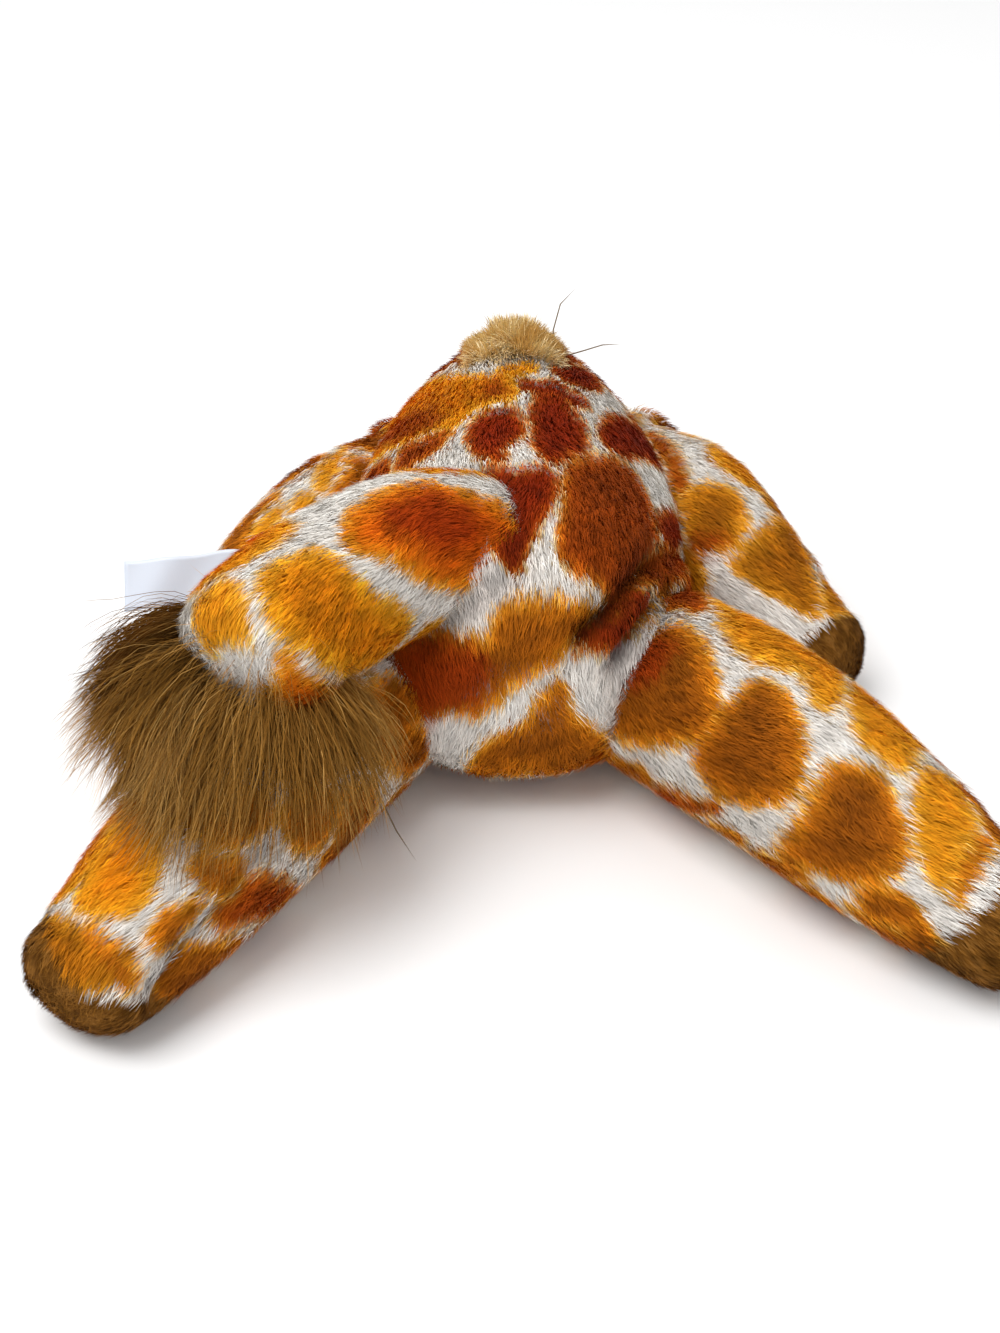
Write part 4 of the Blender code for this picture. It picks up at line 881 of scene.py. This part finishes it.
        ("honey", [60, 1, 69, -11, 78, -11, 88, -6, 92, 11, 89, 30, 79, 38, 68, 35, 62, 21]),
        ("honey", [79, 113, 82, 134, 88, 144, 85, 158, 77, 160, 70, 163, 62, 153]),
        ("honey", [
            99, -149, 108, -161, 118, -166, 131, -162, 132, -138, 129, -117, 118, -112, 107, -113, 96,
            -126
        ]),
        ("honey", [
            97, -87, 105, -104, 117, -102, 129, -98, 132, -75, 130, -51, 117, -48, 106, -49, 97, -64
        ]),
        ("honey", [94, -24, 104, -40, 116, -37, 128, -34, 132, -12, 129, 12, 116, 14, 104, 16, 96, -1]),
        ("honey", [94, 154, 104, 142, 113, 144, 124, 146, 132, 165, 123, 183, 113, 185, 104, 189, 95, 176]),
        ("gold", [36, 119, 42, 135, 54, 141, 70, 141, 73, 141, 73, 141, 71, 114, 62, 104, 50, 102]),
        ("honey", [56, 66, 66, 93, 75, 96, 85, 91, 89, 76, 91, 63, 83, 46, 75, 33, 66, 50]),
        ("core", [71, 43, 84, 64, 90, 64, 85, 42, 76, 30]),
        ("honey", [
            82, 141, 86, 141, 101, 138, 117, 117, 126, 112, 139, 82, 135, 71, 124, 66, 112, 58, 103, 50,
            96, 53, 94, 68, 94, 91
        ]),
        ("honey", [114, 141, 131, 141, 142, 120, 143, 87, 137, 94, 125, 116]),
        ("rust", [8, 97, 29, 86, 47, 76, 57, 65, 52, 62, 42, 69, 30, 76]),
        ("gold", [-14, 103, -9, 135, 11, 122, -5, 127, -5, 105]),
        ("gold", [14, 122, 30, 122, 33, 129, 30, 108]),
    ],
}

# Where each hoof's own pile starts: mm along the leg, how much further on one side, and which side in
# degrees.
HOOF_SEAMS = {
    "rear_leg_left": (176, 31, 115),
    "rear_leg_right": (166, 20, 55),
    "front_leg_left": (128, 6, 90),
    "front_leg_right": (132, 10, 90),
}


def past_seam(name):
    """How many mm past its hoof's seam a place on a leg lies."""
    start, tilt, side = HOOF_SEAMS[name]
    return lambda along, turn: along - start - tilt * np.cos(turn - math.radians(side))


HOOF_COLOUR = plain("#5E3A0E", "#80521A", "#94642A", size=0.006)
REAR_FIBRES, FRONT_FIBRES, HOOF_FIBRES = 62000, 40000, 16000

for name, (root, splay, *_) in LEGS.items():
    form = legs[name]
    way = (math.sin(math.radians(splay)), -math.cos(math.radians(splay)), -0.12)
    past = past_seam(name)
    leg_colour = patched(LEG_PATCHES[name], 33)
    dye_with_painted_shade(form, leg_colour, hoof=past)
    pile(
        name + "_pile", form, REAR_FIBRES if name.startswith("rear") else FRONT_FIBRES, COAT, fixed(*way),
        leg_colour, name, 200 + len(name),
        keep=lambda places, along, turn: (along > -10) & (past(along, turn) < -4),
    )
    pile(
        name + "_hoof_pile", form, HOOF_FIBRES, 0.0075, fixed(*way), HOOF_COLOUR, name, 300 + len(name),
        keep=lambda places, along, turn: past(along, turn) >= -5,
    )
    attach(form, name)
    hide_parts(name + "_skin", name + "_fill", name + "_hoof", name + "_pouch")

# Tail. A stuffed tube of the same plush, a little thinner than a leg, sewn on high at the rump. It flops to
# the left over the rear leg, with a white band before its orange end.

TAIL_ROOT = (-0.004, -0.050, 0.1035)
TAIL_RADIUS, TAIL_LENGTH = 0.0335, 0.143
# Along the tail in metres: its thickness as a share, and how far it is sunk into the back.
TAIL_STATIONS = (
    (-0.020, 0.24, 0.007),
    (-0.008, 0.55, 0.006),
    (0.006, 0.80, 0.004),
    (0.022, 0.95, 0.002),
    (0.040, 1.00, 0.000),
    (0.080, 1.02, 0.000),
    (0.110, 1.00, 0.000),
)
# Degrees to the left of straight back at the root, and how that changes to the tip.
TAIL_SPLAY, TAIL_BEND = 68, -50


def tail_path(length):
    """The place and direction of the tail's middle line."""
    place, steps = np.array(TAIL_ROOT), 60
    for i in range(steps):
        splay = math.radians(TAIL_SPLAY + TAIL_BEND * (i + 0.5) / steps * length / TAIL_LENGTH)
        place = place + np.array((-math.sin(splay), -math.cos(splay), 0)) * length / steps
    splay = math.radians(TAIL_SPLAY + TAIL_BEND * length / TAIL_LENGTH)
    return place, np.array((-math.sin(splay), -math.cos(splay), 0))


def tail_rings():
    rings = []
    radius = TAIL_RADIUS - PILE_RISE
    body_end = TAIL_LENGTH - 0.026
    for t in np.linspace(-0.020, body_end, 40):
        share, sunk = smooth_between(TAIL_STATIONS, t)
        place, way = tail_path(t)
        rings.append((t * 1000, place - np.array((0, 0, sunk)), way, radius * share, radius * share))
    rings.insert(0, (-24, rings[0][1] - rings[0][2] * 0.004, rings[0][2], 0, 0))
    for angle in np.linspace(0, math.pi / 2, 12)[1:]:
        t = body_end + (TAIL_LENGTH - PILE_RISE - body_end) * math.sin(angle)
        size = radius * max(math.cos(angle), 0) ** 0.45
        rings.append((t * 1000, *tail_path(t), size, size))
    return rings


tail = stuffed_form("tail_padding", tail_rings())

TAIL_PATCHES = [
    ("amber", [-4, -100, 8, -115, 19, -112, 34, -113, 40, -85, 32, -60, 19, -58, 7, -51, -5, -70]),
    ("amber", [-2, -34, 13, -44, 23, -47, 37, -44, 44, -18, 37, 10, 23, 10, 13, 9, -2, -1]),
    ("amber", [-4, 35, 8, 17, 21, 22, 35, 24, 41, 52, 35, 79, 21, 84, 9, 82, -3, 67]),
    ("amber", [44, -138, 51, -157, 63, -156, 69, -140, 82, -126, 75, -101, 63, -100, 53, -99, 43, -114]),
    ("amber", [44, -72, 53, -90, 65, -88, 77, -83, 82, -58, 76, -35, 65, -28, 53, -27, 45, -46]),
    ("amber", [48, 4, 57, -13, 69, -17, 80, -7, 85, 17, 80, 42, 68, 48, 57, 47, 46, 31]),
    ("amber", [87, -109, 98, -130, 111, -123, 125, -122, 131, -94, 127, -63, 111, -64, 100, -64, 87, -78]),
    ("amber", [85, -38, 98, -56, 110, -50, 125, -51, 131, -22, 126, 8, 110, 7, 97, 12, 87, -8]),
    ("amber", [89, 37, 99, 20, 111, 21, 127, 20, 129, 51, 124, 77, 111, 81, 98, 85, 87, 67]),
    ("tail", [
        38, 89, 27, 102, 12, 114, 2, 129, 3, 152, 17, 172, 28, 186, 46, 186, 60, 173, 69, 153, 82, 134,
        90, 117, 85, 103, 72, 93, 56, 85
    ]),
    ("core", [63, 99, 43, 98, 29, 110, 22, 126, 31, 148, 48, 152, 59, 135, 67, 117]),
    ("amber", [
        98, 107, 94, 119, 95, 135, 91, 153, 74, 179, 69, 191, 72, 219, 90, 225, 116, 205, 130, 179, 139,
        156, 139, 120, 132, 100, 125, 94, 113, 95
    ]),
    ("gold", [130, 73, 131, 87, 137, 100, 146, 117, 148, 147, 155, -5, 147, 40, 138, 36, 132, 50]),
    ("tail", [
        143, -228, 139, -199, 132, -173, 107, -141, 90, -135, 104, -141, 118, -135, 126, -122, 139,
        -127, 149, -120
    ]),
]


def tail_way(places, along):
    """The brushing direction of the tail's pile, which follows its bend."""
    splay = np.radians(TAIL_SPLAY + TAIL_BEND * np.clip(along / 1000, 0, TAIL_LENGTH) / TAIL_LENGTH)
    return np.column_stack((-np.sin(splay), -np.cos(splay), np.full(len(along), -0.15)))


tail_colour = patched(TAIL_PATCHES, 29, grown=0.9)
dye_with_painted_shade(tail, tail_colour)
pile("tail_pile", tail, 64000, COAT, tail_way, tail_colour, "tail", 400)
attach(tail, "tail")
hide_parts("tail_skin", "tail_fill")

# Tuft. Long soft tan hair, sewn in around the outer side of the tail's end. It fans out and falls over the
# rear leg.


def long_hair(
    name, starts, ways, normals, lengths, colour, body, seed, steps, fall, clump, rests_on=(),
    width=0.00045, curl=0.0, root_painted_shade=0.5,
):
    """Hair that leaves each start along its own way, bends under its weight and lies on what is below."""
    rng = np.random.default_rng(seed)
    count = len(starts)
    below = []
    for form in rests_on:
        places, _, triangles = corners(form)
        below.append(BVHTree.FromPolygons([tuple(p) for p in places], [tuple(t) for t in triangles]))
    points = [starts]
    heading = unit(ways)
    sway = np.column_stack([waves(starts, seed + i, 0.02) for i in range(3)]) * 0.10
    for step in range(steps):
        share = (step + 1) / steps
        droop = np.outer(np.ones(count) * fall, (0, 0, -share)) / steps * 3
        heading = unit(heading + droop + sway / steps * 3 + rng.normal(0, 0.045, (count, 3)))
        place = points[-1] + heading * (lengths / steps)[:, None]
        for tree in below:
            for i in range(count):
                found, normal, _, far = tree.find_nearest(Vector(place[i]), 0.012)
                if found is None:
                    continue
                out = (Vector(place[i]) - found).dot(normal)
                if out < 0.0085:
                    place[i] += np.array(normal) * (0.0085 - out)
        place[:, 2] = np.maximum(place[:, 2], 0.002)
        heading = unit(place - points[-1])
        points.append(place)
    points = np.stack(points, axis=1)
    gather = rng.choice(count, count // 25, replace=False)
    tree = kdtree.KDTree(len(gather))
    for i, k in enumerate(gather):
        tree.insert(points[k, 2], i)
    tree.balance()
    nearest = gather[[tree.find(p)[1] for p in points[:, 2]]]
    pull = np.clip(clump * (0.8 + 0.4 * rng.normal(size=count)), 0, 0.9)[:, None, None]
    grow = (np.linspace(0, 1, steps + 1) ** 1.3)[None, :, None]
    points = points + (points[nearest] - points) * pull * grow
    turns = 2.2 * np.linspace(0, 1, steps + 1)[None] + 1.2 * waves(starts, seed + 9, 0.012)[:, None]
    swing = math.pi * (turns + 0.4 * rng.normal(size=(count, 1)))
    bow = (np.sin(swing) - np.sin(swing[:, :1])) * curl * rng.uniform(0.5, 1.3, (count, 1))
    sideways = unit(np.cross(ways, normals) + rng.normal(0, 0.3, ways.shape))
    points = points + sideways[:, None] * bow[:, :, None]
    shades = colour(None, None, starts, rng) * (1 + 0.12 * rng.normal(size=count))[:, None]
    widths = width * rng.uniform(0.7, 1.2, count)
    return fibres(name, points, widths, shades, normals, body, rng, root_painted_shade)


def tuft_seam(places, along, turn):
    """The tuft is sewn on round the outer side of the tail's end, and under it."""
    outer = (along > 112) & (places[:, 2] < 0.107) & (places[:, 0] < -0.0925 - 0.6 * (places[:, 2] - 0.075))
    return outer | ((along > 103) & (places[:, 2] < 0.0778) & (places[:, 0] < -0.068))


rng = np.random.default_rng(70)
places, normals, along, turn, _ = roots_on(tail, 15000, rng, keep=tuft_seam)
leftwards = np.clip((-0.090 - places[:, 0]) / 0.020, 0, 1)
rightwards = np.clip((places[:, 0] + 0.086) / 0.010, 0, 1)
upper = np.clip((places[:, 2] - 0.078) / 0.012, 0, 1)
fan = unit(
    normals * 0.8 + tail_way(places, along) * 0.6 + rng.normal(0, 0.13, places.shape)
    + upper[:, None] * (tail_way(places, along) * 0.7 + np.array((0, 0, 0.55)))
    + np.outer(leftwards, (-0.30, 0, 0.05)) + np.outer(rightwards, (0.60, 0, 0.1))
)
longest = np.exp(-(((places[:, 0] + 0.092) / 0.011) ** 2))
reach = 0.048 + 0.039 * longest * np.clip((0.108 - places[:, 2]) / 0.014, 0, 1)
lengths = reach * rng.uniform(0.5, 1.12, len(places))
tuft = long_hair(
    "tail_tuft_hair", places, fan, normals, lengths, plain("#6E4816", "#906428", "#BC9050"), "tail", 71,
    rests_on=(legs["rear_leg_left"],), fall=1.0 - 0.42 * upper * rng.uniform(0.3, 1.2, len(places)),
    width=0.00026, clump=0.10, steps=7, curl=0.0022,
)
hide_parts("tail_tuft")

# Care label. A strip of plain white satin ribbon, caught in the left side seam at one end. It stands out
# from the body and curls a little.

LABEL_LENGTH, LABEL_WIDTH, LABEL_THICKNESS = 0.093, 0.020, 0.0004
LABEL_ROOT, LABEL_LEAN, LABEL_CURL = (-0.0713, -0.022, 0.0515), 62, 0.003

bpy.ops.object.select_all(action="DESELECT")
bpy.ops.mesh.primitive_grid_add(x_subdivisions=48, y_subdivisions=12, size=1)
label = bpy.context.object
label.name = "care_label_satin"
spots = np.empty(len(label.data.vertices) * 3)
label.data.vertices.foreach_get("co", spots)
spots = spots.reshape(-1, 3)
out, over = spots[:, 0] + 0.5, spots[:, 1] + 0.5
lean = np.radians(LABEL_LEAN + 4 * np.sin(out * 3.0))
curl = LABEL_CURL * np.sin(2 * math.pi * 0.75 * out) + 0.0012 * out**2 * (over - 0.5) * 2
curl += 0.0004 * np.sin(out * 19 + over * 3)
spots = np.column_stack((
    LABEL_ROOT[0] - LABEL_LENGTH * out,
    LABEL_ROOT[1] + np.cos(lean) * LABEL_WIDTH * over + curl,
    LABEL_ROOT[2] + np.sin(lean) * LABEL_WIDTH * over - 0.0038 * out**2
    + 0.0005 * np.sin(out * 23 + 2 * over),
))
label.data.vertices.foreach_set("co", spots.ravel())
label.data.update()
thickness = label.modifiers.new("thickness", "SOLIDIFY")
thickness.thickness = LABEL_THICKNESS
thickness.offset = 0
thickness.material_offset_rim = 1
bpy.ops.object.modifier_apply(modifier=thickness.name)
label.data.shade_smooth()

satin = bpy.data.materials.new("white_satin")
satin.use_nodes = True
nodes, links = satin.node_tree.nodes, satin.node_tree.links
place = nodes.new("ShaderNodeTexCoord")
weave = nodes.new("ShaderNodeTexWave")
weave.inputs["Scale"].default_value = 900
weave.bands_direction = "X"
tint = nodes.new("ShaderNodeValToRGB")
tint.color_ramp.elements[0].color = (*paint("#C6CEDC"), 1)
tint.color_ramp.elements[1].color = (*paint("#D8DEE8"), 1)
links.new(place.outputs["Object"], weave.inputs["Vector"])
links.new(weave.outputs["Fac"], tint.inputs["Fac"])
links.new(tint.outputs["Color"], nodes["Principled BSDF"].inputs["Base Color"])
nodes["Principled BSDF"].inputs["Roughness"].default_value = 0.38
nodes["Principled BSDF"].inputs["Anisotropic"].default_value = 0.4
label.data.materials.append(satin)
# The label's rim is coloured dark grey.
edging = satin.copy()
edging.name = "edge_thread"
for element, shade in zip(edging.node_tree.nodes["Color Ramp"].color_ramp.elements, ("#3A3E48", "#5A5E6A")):
    element.color = (*paint(shade), 1)
label.data.materials.append(edging)
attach(label, "torso")
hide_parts("care_label")

# Neck. A short stuffed tube of the same plush that goes down in front of the shoulders to the head. A strip
# of tan mane is sewn in along its top.

NECK_ROOT, NECK_END = (0, 0.098, 0.086), (0, 0.157, 0.0399)
NECK_THICK, NECK_THIN = 0.031, 0.0225


def neck_rings():
    start, end = np.array(NECK_ROOT), np.array(NECK_END)
    along = unit((end - start)[None])[0]
    length = float(np.linalg.norm(end - start))
    rings = []
    radius = NECK_THICK - PILE_RISE
    for angle in np.linspace(-math.pi / 2, 0, 8)[:-1]:
        t, size = radius * math.sin(angle), radius * math.cos(angle)
        rings.append((t * 1000, start + along * t, along, size, size))
    for share in np.linspace(0, 1, 18):
        size = NECK_THICK + (NECK_THIN - NECK_THICK) * share - PILE_RISE
        rings.append((share * length * 1000, start + along * length * share, along, size, size))
    size = NECK_THIN - PILE_RISE
    for angle in np.linspace(0, math.pi / 2, 8)[1:]:
        t = length + size * 0.5 * math.sin(angle)
        small = size * max(math.cos(angle), 0)
        rings.append((t * 1000, start + along * t, along, small, small))
    return rings


neck = stuffed_form("neck_padding", neck_rings(), sides=44)

neck_patches = []
for i, u in enumerate((8, 34, 60)):
    for k in range(4):
        v = k * 90 + (i % 2) * 45
        neck_patches.append(("back", [u - 10, v - 32, u + 10, v - 34, u + 11, v + 32, u - 9, v + 33]))
neck_colour = patched(neck_patches, 22)
dye_with_painted_shade(neck, neck_colour)
pile("neck_pile", neck, 22000, 0.009, fixed(0, -0.6, 0.3), neck_colour, "neck", 500)
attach(neck, "neck")
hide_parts("neck_skin", "neck_fill")


def mane_seam(places, along, turn):
    """The narrow strip along the top of the neck that the mane is sewn into."""
    return (np.abs(places[:, 0]) < 0.007) & (places[:, 2] > 0.055) & (along > 5) & (along < 72)


rng = np.random.default_rng(80)
places, normals, *_ = roots_on(neck, 3500, rng, keep=mane_seam)
ways = normals + rng.normal(0, 0.15, places.shape)
mane = long_hair(
    "mane_hair", places, ways, normals, 0.015 * rng.uniform(0.8, 1.15, len(places)),
    plain("#D4A660", "#EAC47E", "#F4DCA6"), "neck", 81, steps=5, fall=0.15, clump=0.2,
)
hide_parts("mane_strip")

# Withers tuft. The same tan hair, sewn in on the back of the torso where the mane ends. It is brushed back
# and stands up in a low crest.

WITHERS_REACH = 0.020


def withers_seam(places, along, turn):
    """The patch on top of the shoulders that the tuft is sewn into."""
    return (np.abs(places[:, 0]) < WITHERS_REACH) & (places[:, 2] > 0.08) & (along > 56) & (along < 106)


rng = np.random.default_rng(90)
places, normals, *_ = roots_on(torso, 8000, rng, keep=withers_seam)
ways = normals + np.array((0, -0.7, 0)) + rng.normal(0, 0.25, places.shape)
spread = 1 - 0.45 * (np.abs(places[:, 0]) / WITHERS_REACH) ** 2
withers = long_hair(
    "withers_tuft_hair", places, ways, normals, 0.0135 * spread * rng.uniform(0.7, 1.15, len(places)),
    plain("#E0BC80", "#F0D49A", "#FAE8C4"), "torso", 91, steps=4, fall=0.3, width=0.00032, clump=0.2,
    root_painted_shade=0.72,
)
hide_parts("withers_tuft")

# Loose hairs. Single long hairs that have worked out of the pile, two at the withers and one at the tail's
# tuft. Each is given by four places along it, in mm.
for name, body, seed, hairs in (
    ("withers_loose_hair", "torso", 95, (
        ((17, 84, 112), (17.5, 84.5, 124), (20.5, 85, 136), (28, 86, 144)),
        ((22, 82, 112), (30, 79, 116), (39, 75, 121), (49, 72, 123)),
    )),
    ("tuft_loose_hair", "tail", 96, (((-56, -128, 44), (-50, -140, 38), (-44, -150, 31), (-36, -161, 25)),)),
):
    points = np.array(hairs, float) / 1000
    facing = np.tile((0.0, -0.6, 0.8), (len(points), 1))
    shades = np.tile(paint("#6E5C48"), (len(points), 1))
    widths = np.full(len(points), 0.0007)
    fibres(name, points, widths, shades, facing, body, np.random.default_rng(seed))

# Head. A small stuffed head of the same plush with its own muzzle, a cap of short sand-coloured pile sewn on
# in front. Both lie on the floor.

# From the back of the head to the nose: width and height, as shares of the whole.
HEAD_STATIONS = (
    (0, 0.80, 0.84),
    (0.22, 1, 1),
    (0.44, 0.94, 0.92),
    (0.64, 0.74, 0.72),
    (0.84, 0.72, 0.66),
    (0.99, 0.46, 0.42),
)
HEAD_REAR, HEAD_LENGTH, HEAD_WIDTH, HEAD_HEIGHT = 0.151, 0.092, 0.070, 0.068
HEAD_RISE = 0.004


def head_rings(first, last):
    """The rings of the head between two shares of its length, with a rounded cap at each end."""
    rings = []
    for share in np.linspace(first, last, 24):
        wide, high = smooth_between(HEAD_STATIONS, share)
        y = HEAD_REAR + HEAD_LENGTH * share
        half_width = HEAD_WIDTH / 2 * wide - HEAD_RISE
        half_height = HEAD_HEIGHT / 2 * high - HEAD_RISE
        rings.append((y, (0, y, half_height + HEAD_RISE), (0, 1, 0), half_width, half_height))
    caps = []
    for edge, sign in ((rings[0], -1), (rings[-1], 1)):
        cap = []
        for angle in np.linspace(0, math.pi / 2, 7)[1:]:
            y = edge[0] + sign * (HEAD_RISE * 0.4 * math.sin(angle))
            small = max(math.cos(angle), 0) ** 0.7
            cap.append((y, (0, y, edge[1][2]), (0, 1, 0), edge[3] * small, edge[4] * small))
        caps.append(cap)
    return [(r[0] * 1000, *r[1:]) for r in caps[0][::-1] + rings + caps[1]]


head = stuffed_form("head_padding", head_rings(0.04, 0.63), sides=44)
HEAD_SPOTS = (
    (14, 90), (12, 30), (12, 150), (14, -30), (14, 210), (38, 58), (38, 122), (38, 0), (38, 180), (58, 90)
)
head_patches = []
for u, v in HEAD_SPOTS:
    outline = [u - 8, v - 19, u + 7, v - 18, u + 9, v, u + 7, v + 18, u - 8, v + 19, u - 10, v]
    head_patches.append(("gold", outline))
head_colour = patched(head_patches, 30)
dye_with_painted_shade(head, head_colour)
pile("head_pile", head, 24000, 0.006, fixed(0, -1, -0.1), head_colour, "head", 600, width=0.0004)
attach(head, "head")
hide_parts("head_skin", "head_fill")

muzzle = stuffed_form("muzzle_padding", head_rings(0.64, 0.97), sides=44)
muzzle_colour = plain("#D8B06A", "#E2C48A")
dye_with_painted_shade(muzzle, muzzle_colour)
pile("muzzle_pile", muzzle, 14000, 0.005, fixed(0, -1, -0.1), muzzle_colour, "head", 610, width=0.0004)
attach(muzzle, "head")
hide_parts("muzzle")

# Ears. Two small flat leaves of short orange pile, lightly stuffed. Each is sewn to the side of the head
# and points out, back and a little down.

for side, word in ((-1, "left"), (1, "right")):
    sweep, droop = math.radians(29), math.radians(6)
    flat = math.cos(droop)
    way = np.array((side * math.cos(sweep) * flat, -math.sin(sweep) * flat, -math.sin(droop)))
    middle = np.array((side * 0.0413, 0.160, 0.0473))
    rings = []
    for angle in np.linspace(-math.pi / 2, math.pi / 2, 15):
        t = 0.0135 * math.sin(angle)
        size = max(math.cos(angle), 0)
        rings.append((t * 1000, middle + way * t, way, 0.0080 * size, 0.0016 * size))
    ear = stuffed_form("ear_" + word + "_padding", rings, sides=24)
    ear_colour = plain("#C8801C", "#D89A3A")
    dye_with_painted_shade(ear, ear_colour)
    pile(
        "ear_" + word + "_pile", ear, 3500, 0.004, fixed(*way), ear_colour, "head", 620 + side,
        width=0.0004,
    )
    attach(ear, "head")
    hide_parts("ear_" + word)

# Horns. Two short stems of tan plush on top of the head, each ending in a brown knob. They are stuffed
# firmly, so that they stand up.

for side, word in ((-1, "left"), (1, "right")):
    way = unit(np.array([(side * math.tan(math.radians(12)), -math.tan(math.radians(16)), 1.0)]))[0]
    foot = np.array((side * 0.0131, 0.1787, 0.0590))
    rings = []
    for t, radius in (
        (0.000, 0), (0.0003, 0.0016), (0.001, 0.0024), (0.005, 0.0024), (0.009, 0.0022), (0.012, 0.0021),
        (0.0145, 0.0026), (0.0160, 0.0033), (0.0175, 0.0036), (0.0188, 0.0032), (0.0197, 0.0022),
        (0.0202, 0.0010), (0.0204, 0),
    ):
        rings.append((t * 1000, foot + way * t, way, radius, radius))
    horn = stuffed_form("horn_" + word + "_padding", rings, sides=20)
    for zone, shades, low, high in (
        ("stem", ("#C89440", "#DDAE5C"), -9, 13),
        ("knob", ("#4A2A0C", "#6E4316"), 13, 99),
    ):
        pile(
            "horn_" + word + "_" + zone, horn, 1600, 0.0028, fixed(*way), plain(*shades), "head",
            640 + side, width=0.00032,
            keep=lambda places, along, turn: (along >= low) & (along < high),
        )
    dye_with_painted_shade(horn, plain("#A87430"))
    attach(horn, "head")
    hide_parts("horn_" + word)

# Eyes and washers. Black glossy plastic domes, each on a shank that goes through the cloth. A plain white
# washer is pressed on it from inside the head.


def plastic(name, low, high, roughness):
    """Moulded plastic whose colour clouds a little between two shades."""
    made = bpy.data.materials.new(name)
    made.use_nodes = True
    nodes, links = made.node_tree.nodes, made.node_tree.links
    place = nodes.new("ShaderNodeTexCoord")
    cloud = nodes.new("ShaderNodeTexNoise")
    cloud.inputs["Scale"].default_value = 220
    tint = nodes.new("ShaderNodeValToRGB")
    tint.color_ramp.elements[0].color = (*paint(low), 1)
    tint.color_ramp.elements[1].color = (*paint(high), 1)
    links.new(place.outputs["Object"], cloud.inputs["Vector"])
    links.new(cloud.outputs["Fac"], tint.inputs["Fac"])
    links.new(tint.outputs["Color"], nodes["Principled BSDF"].inputs["Base Color"])
    nodes["Principled BSDF"].inputs["Roughness"].default_value = roughness
    return made


for stem, finish in (
    ("eye_", plastic("eye_gloss", "#0A0706", "#120D0A", 0.08)),
    ("washer_", plastic("washer_matt", "#D8D8D2", "#E2E2DC", 0.5)),
):
    for word in ("left", "right"):
        part = bpy.data.objects[stem + word]
        part.data.materials.clear()
        part.data.materials.append(finish)

# Floor, light and camera. A plain white floor, an even white surround and one soft lamp high on the left.
# The camera looks down from behind at the photograph's angle.

bpy.ops.object.select_all(action="DESELECT")
bpy.ops.mesh.primitive_plane_add(size=8, location=(0, 0, 0))
floor = bpy.context.object
floor.name = "floor"
white = bpy.data.materials.new("floor_white")
white.use_nodes = True
white.node_tree.nodes["Principled BSDF"].inputs["Base Color"].default_value = (0.9, 0.9, 0.9, 1)
floor.data.materials.append(white)

world = bpy.data.worlds.new("studio")
bpy.context.scene.world = world
world.use_nodes = True
world.node_tree.nodes["Background"].inputs["Color"].default_value = (1, 1, 1, 1)
world.node_tree.nodes["Background"].inputs["Strength"].default_value = 0.85
bpy.ops.object.light_add(type="AREA", location=(-0.6, -0.4, 1.6))
lamp = bpy.context.object
lamp.data.size = 1.2
lamp.data.energy = 22
lamp.rotation_euler = (Vector((0, 0, 0.05)) - lamp.location).to_track_quat("-Z", "Y").to_euler()

# The lens gives the photograph's frame, whose longer side is 1333 pixels, a focal length of 1965 pixels.
FRAME_HEIGHT, FOCAL_LENGTH = 1333, 1965
bpy.ops.object.camera_add(
    location=(0.0025, -0.7155, 0.5048),
    rotation=(math.radians(54.82), math.radians(0.43), math.radians(0.42)),
)
camera = bpy.context.object
camera.data.sensor_width = 36
camera.data.lens = 36 * FOCAL_LENGTH / FRAME_HEIGHT
bpy.context.scene.camera = camera
bpy.context.scene.view_settings.view_transform = "Standard"
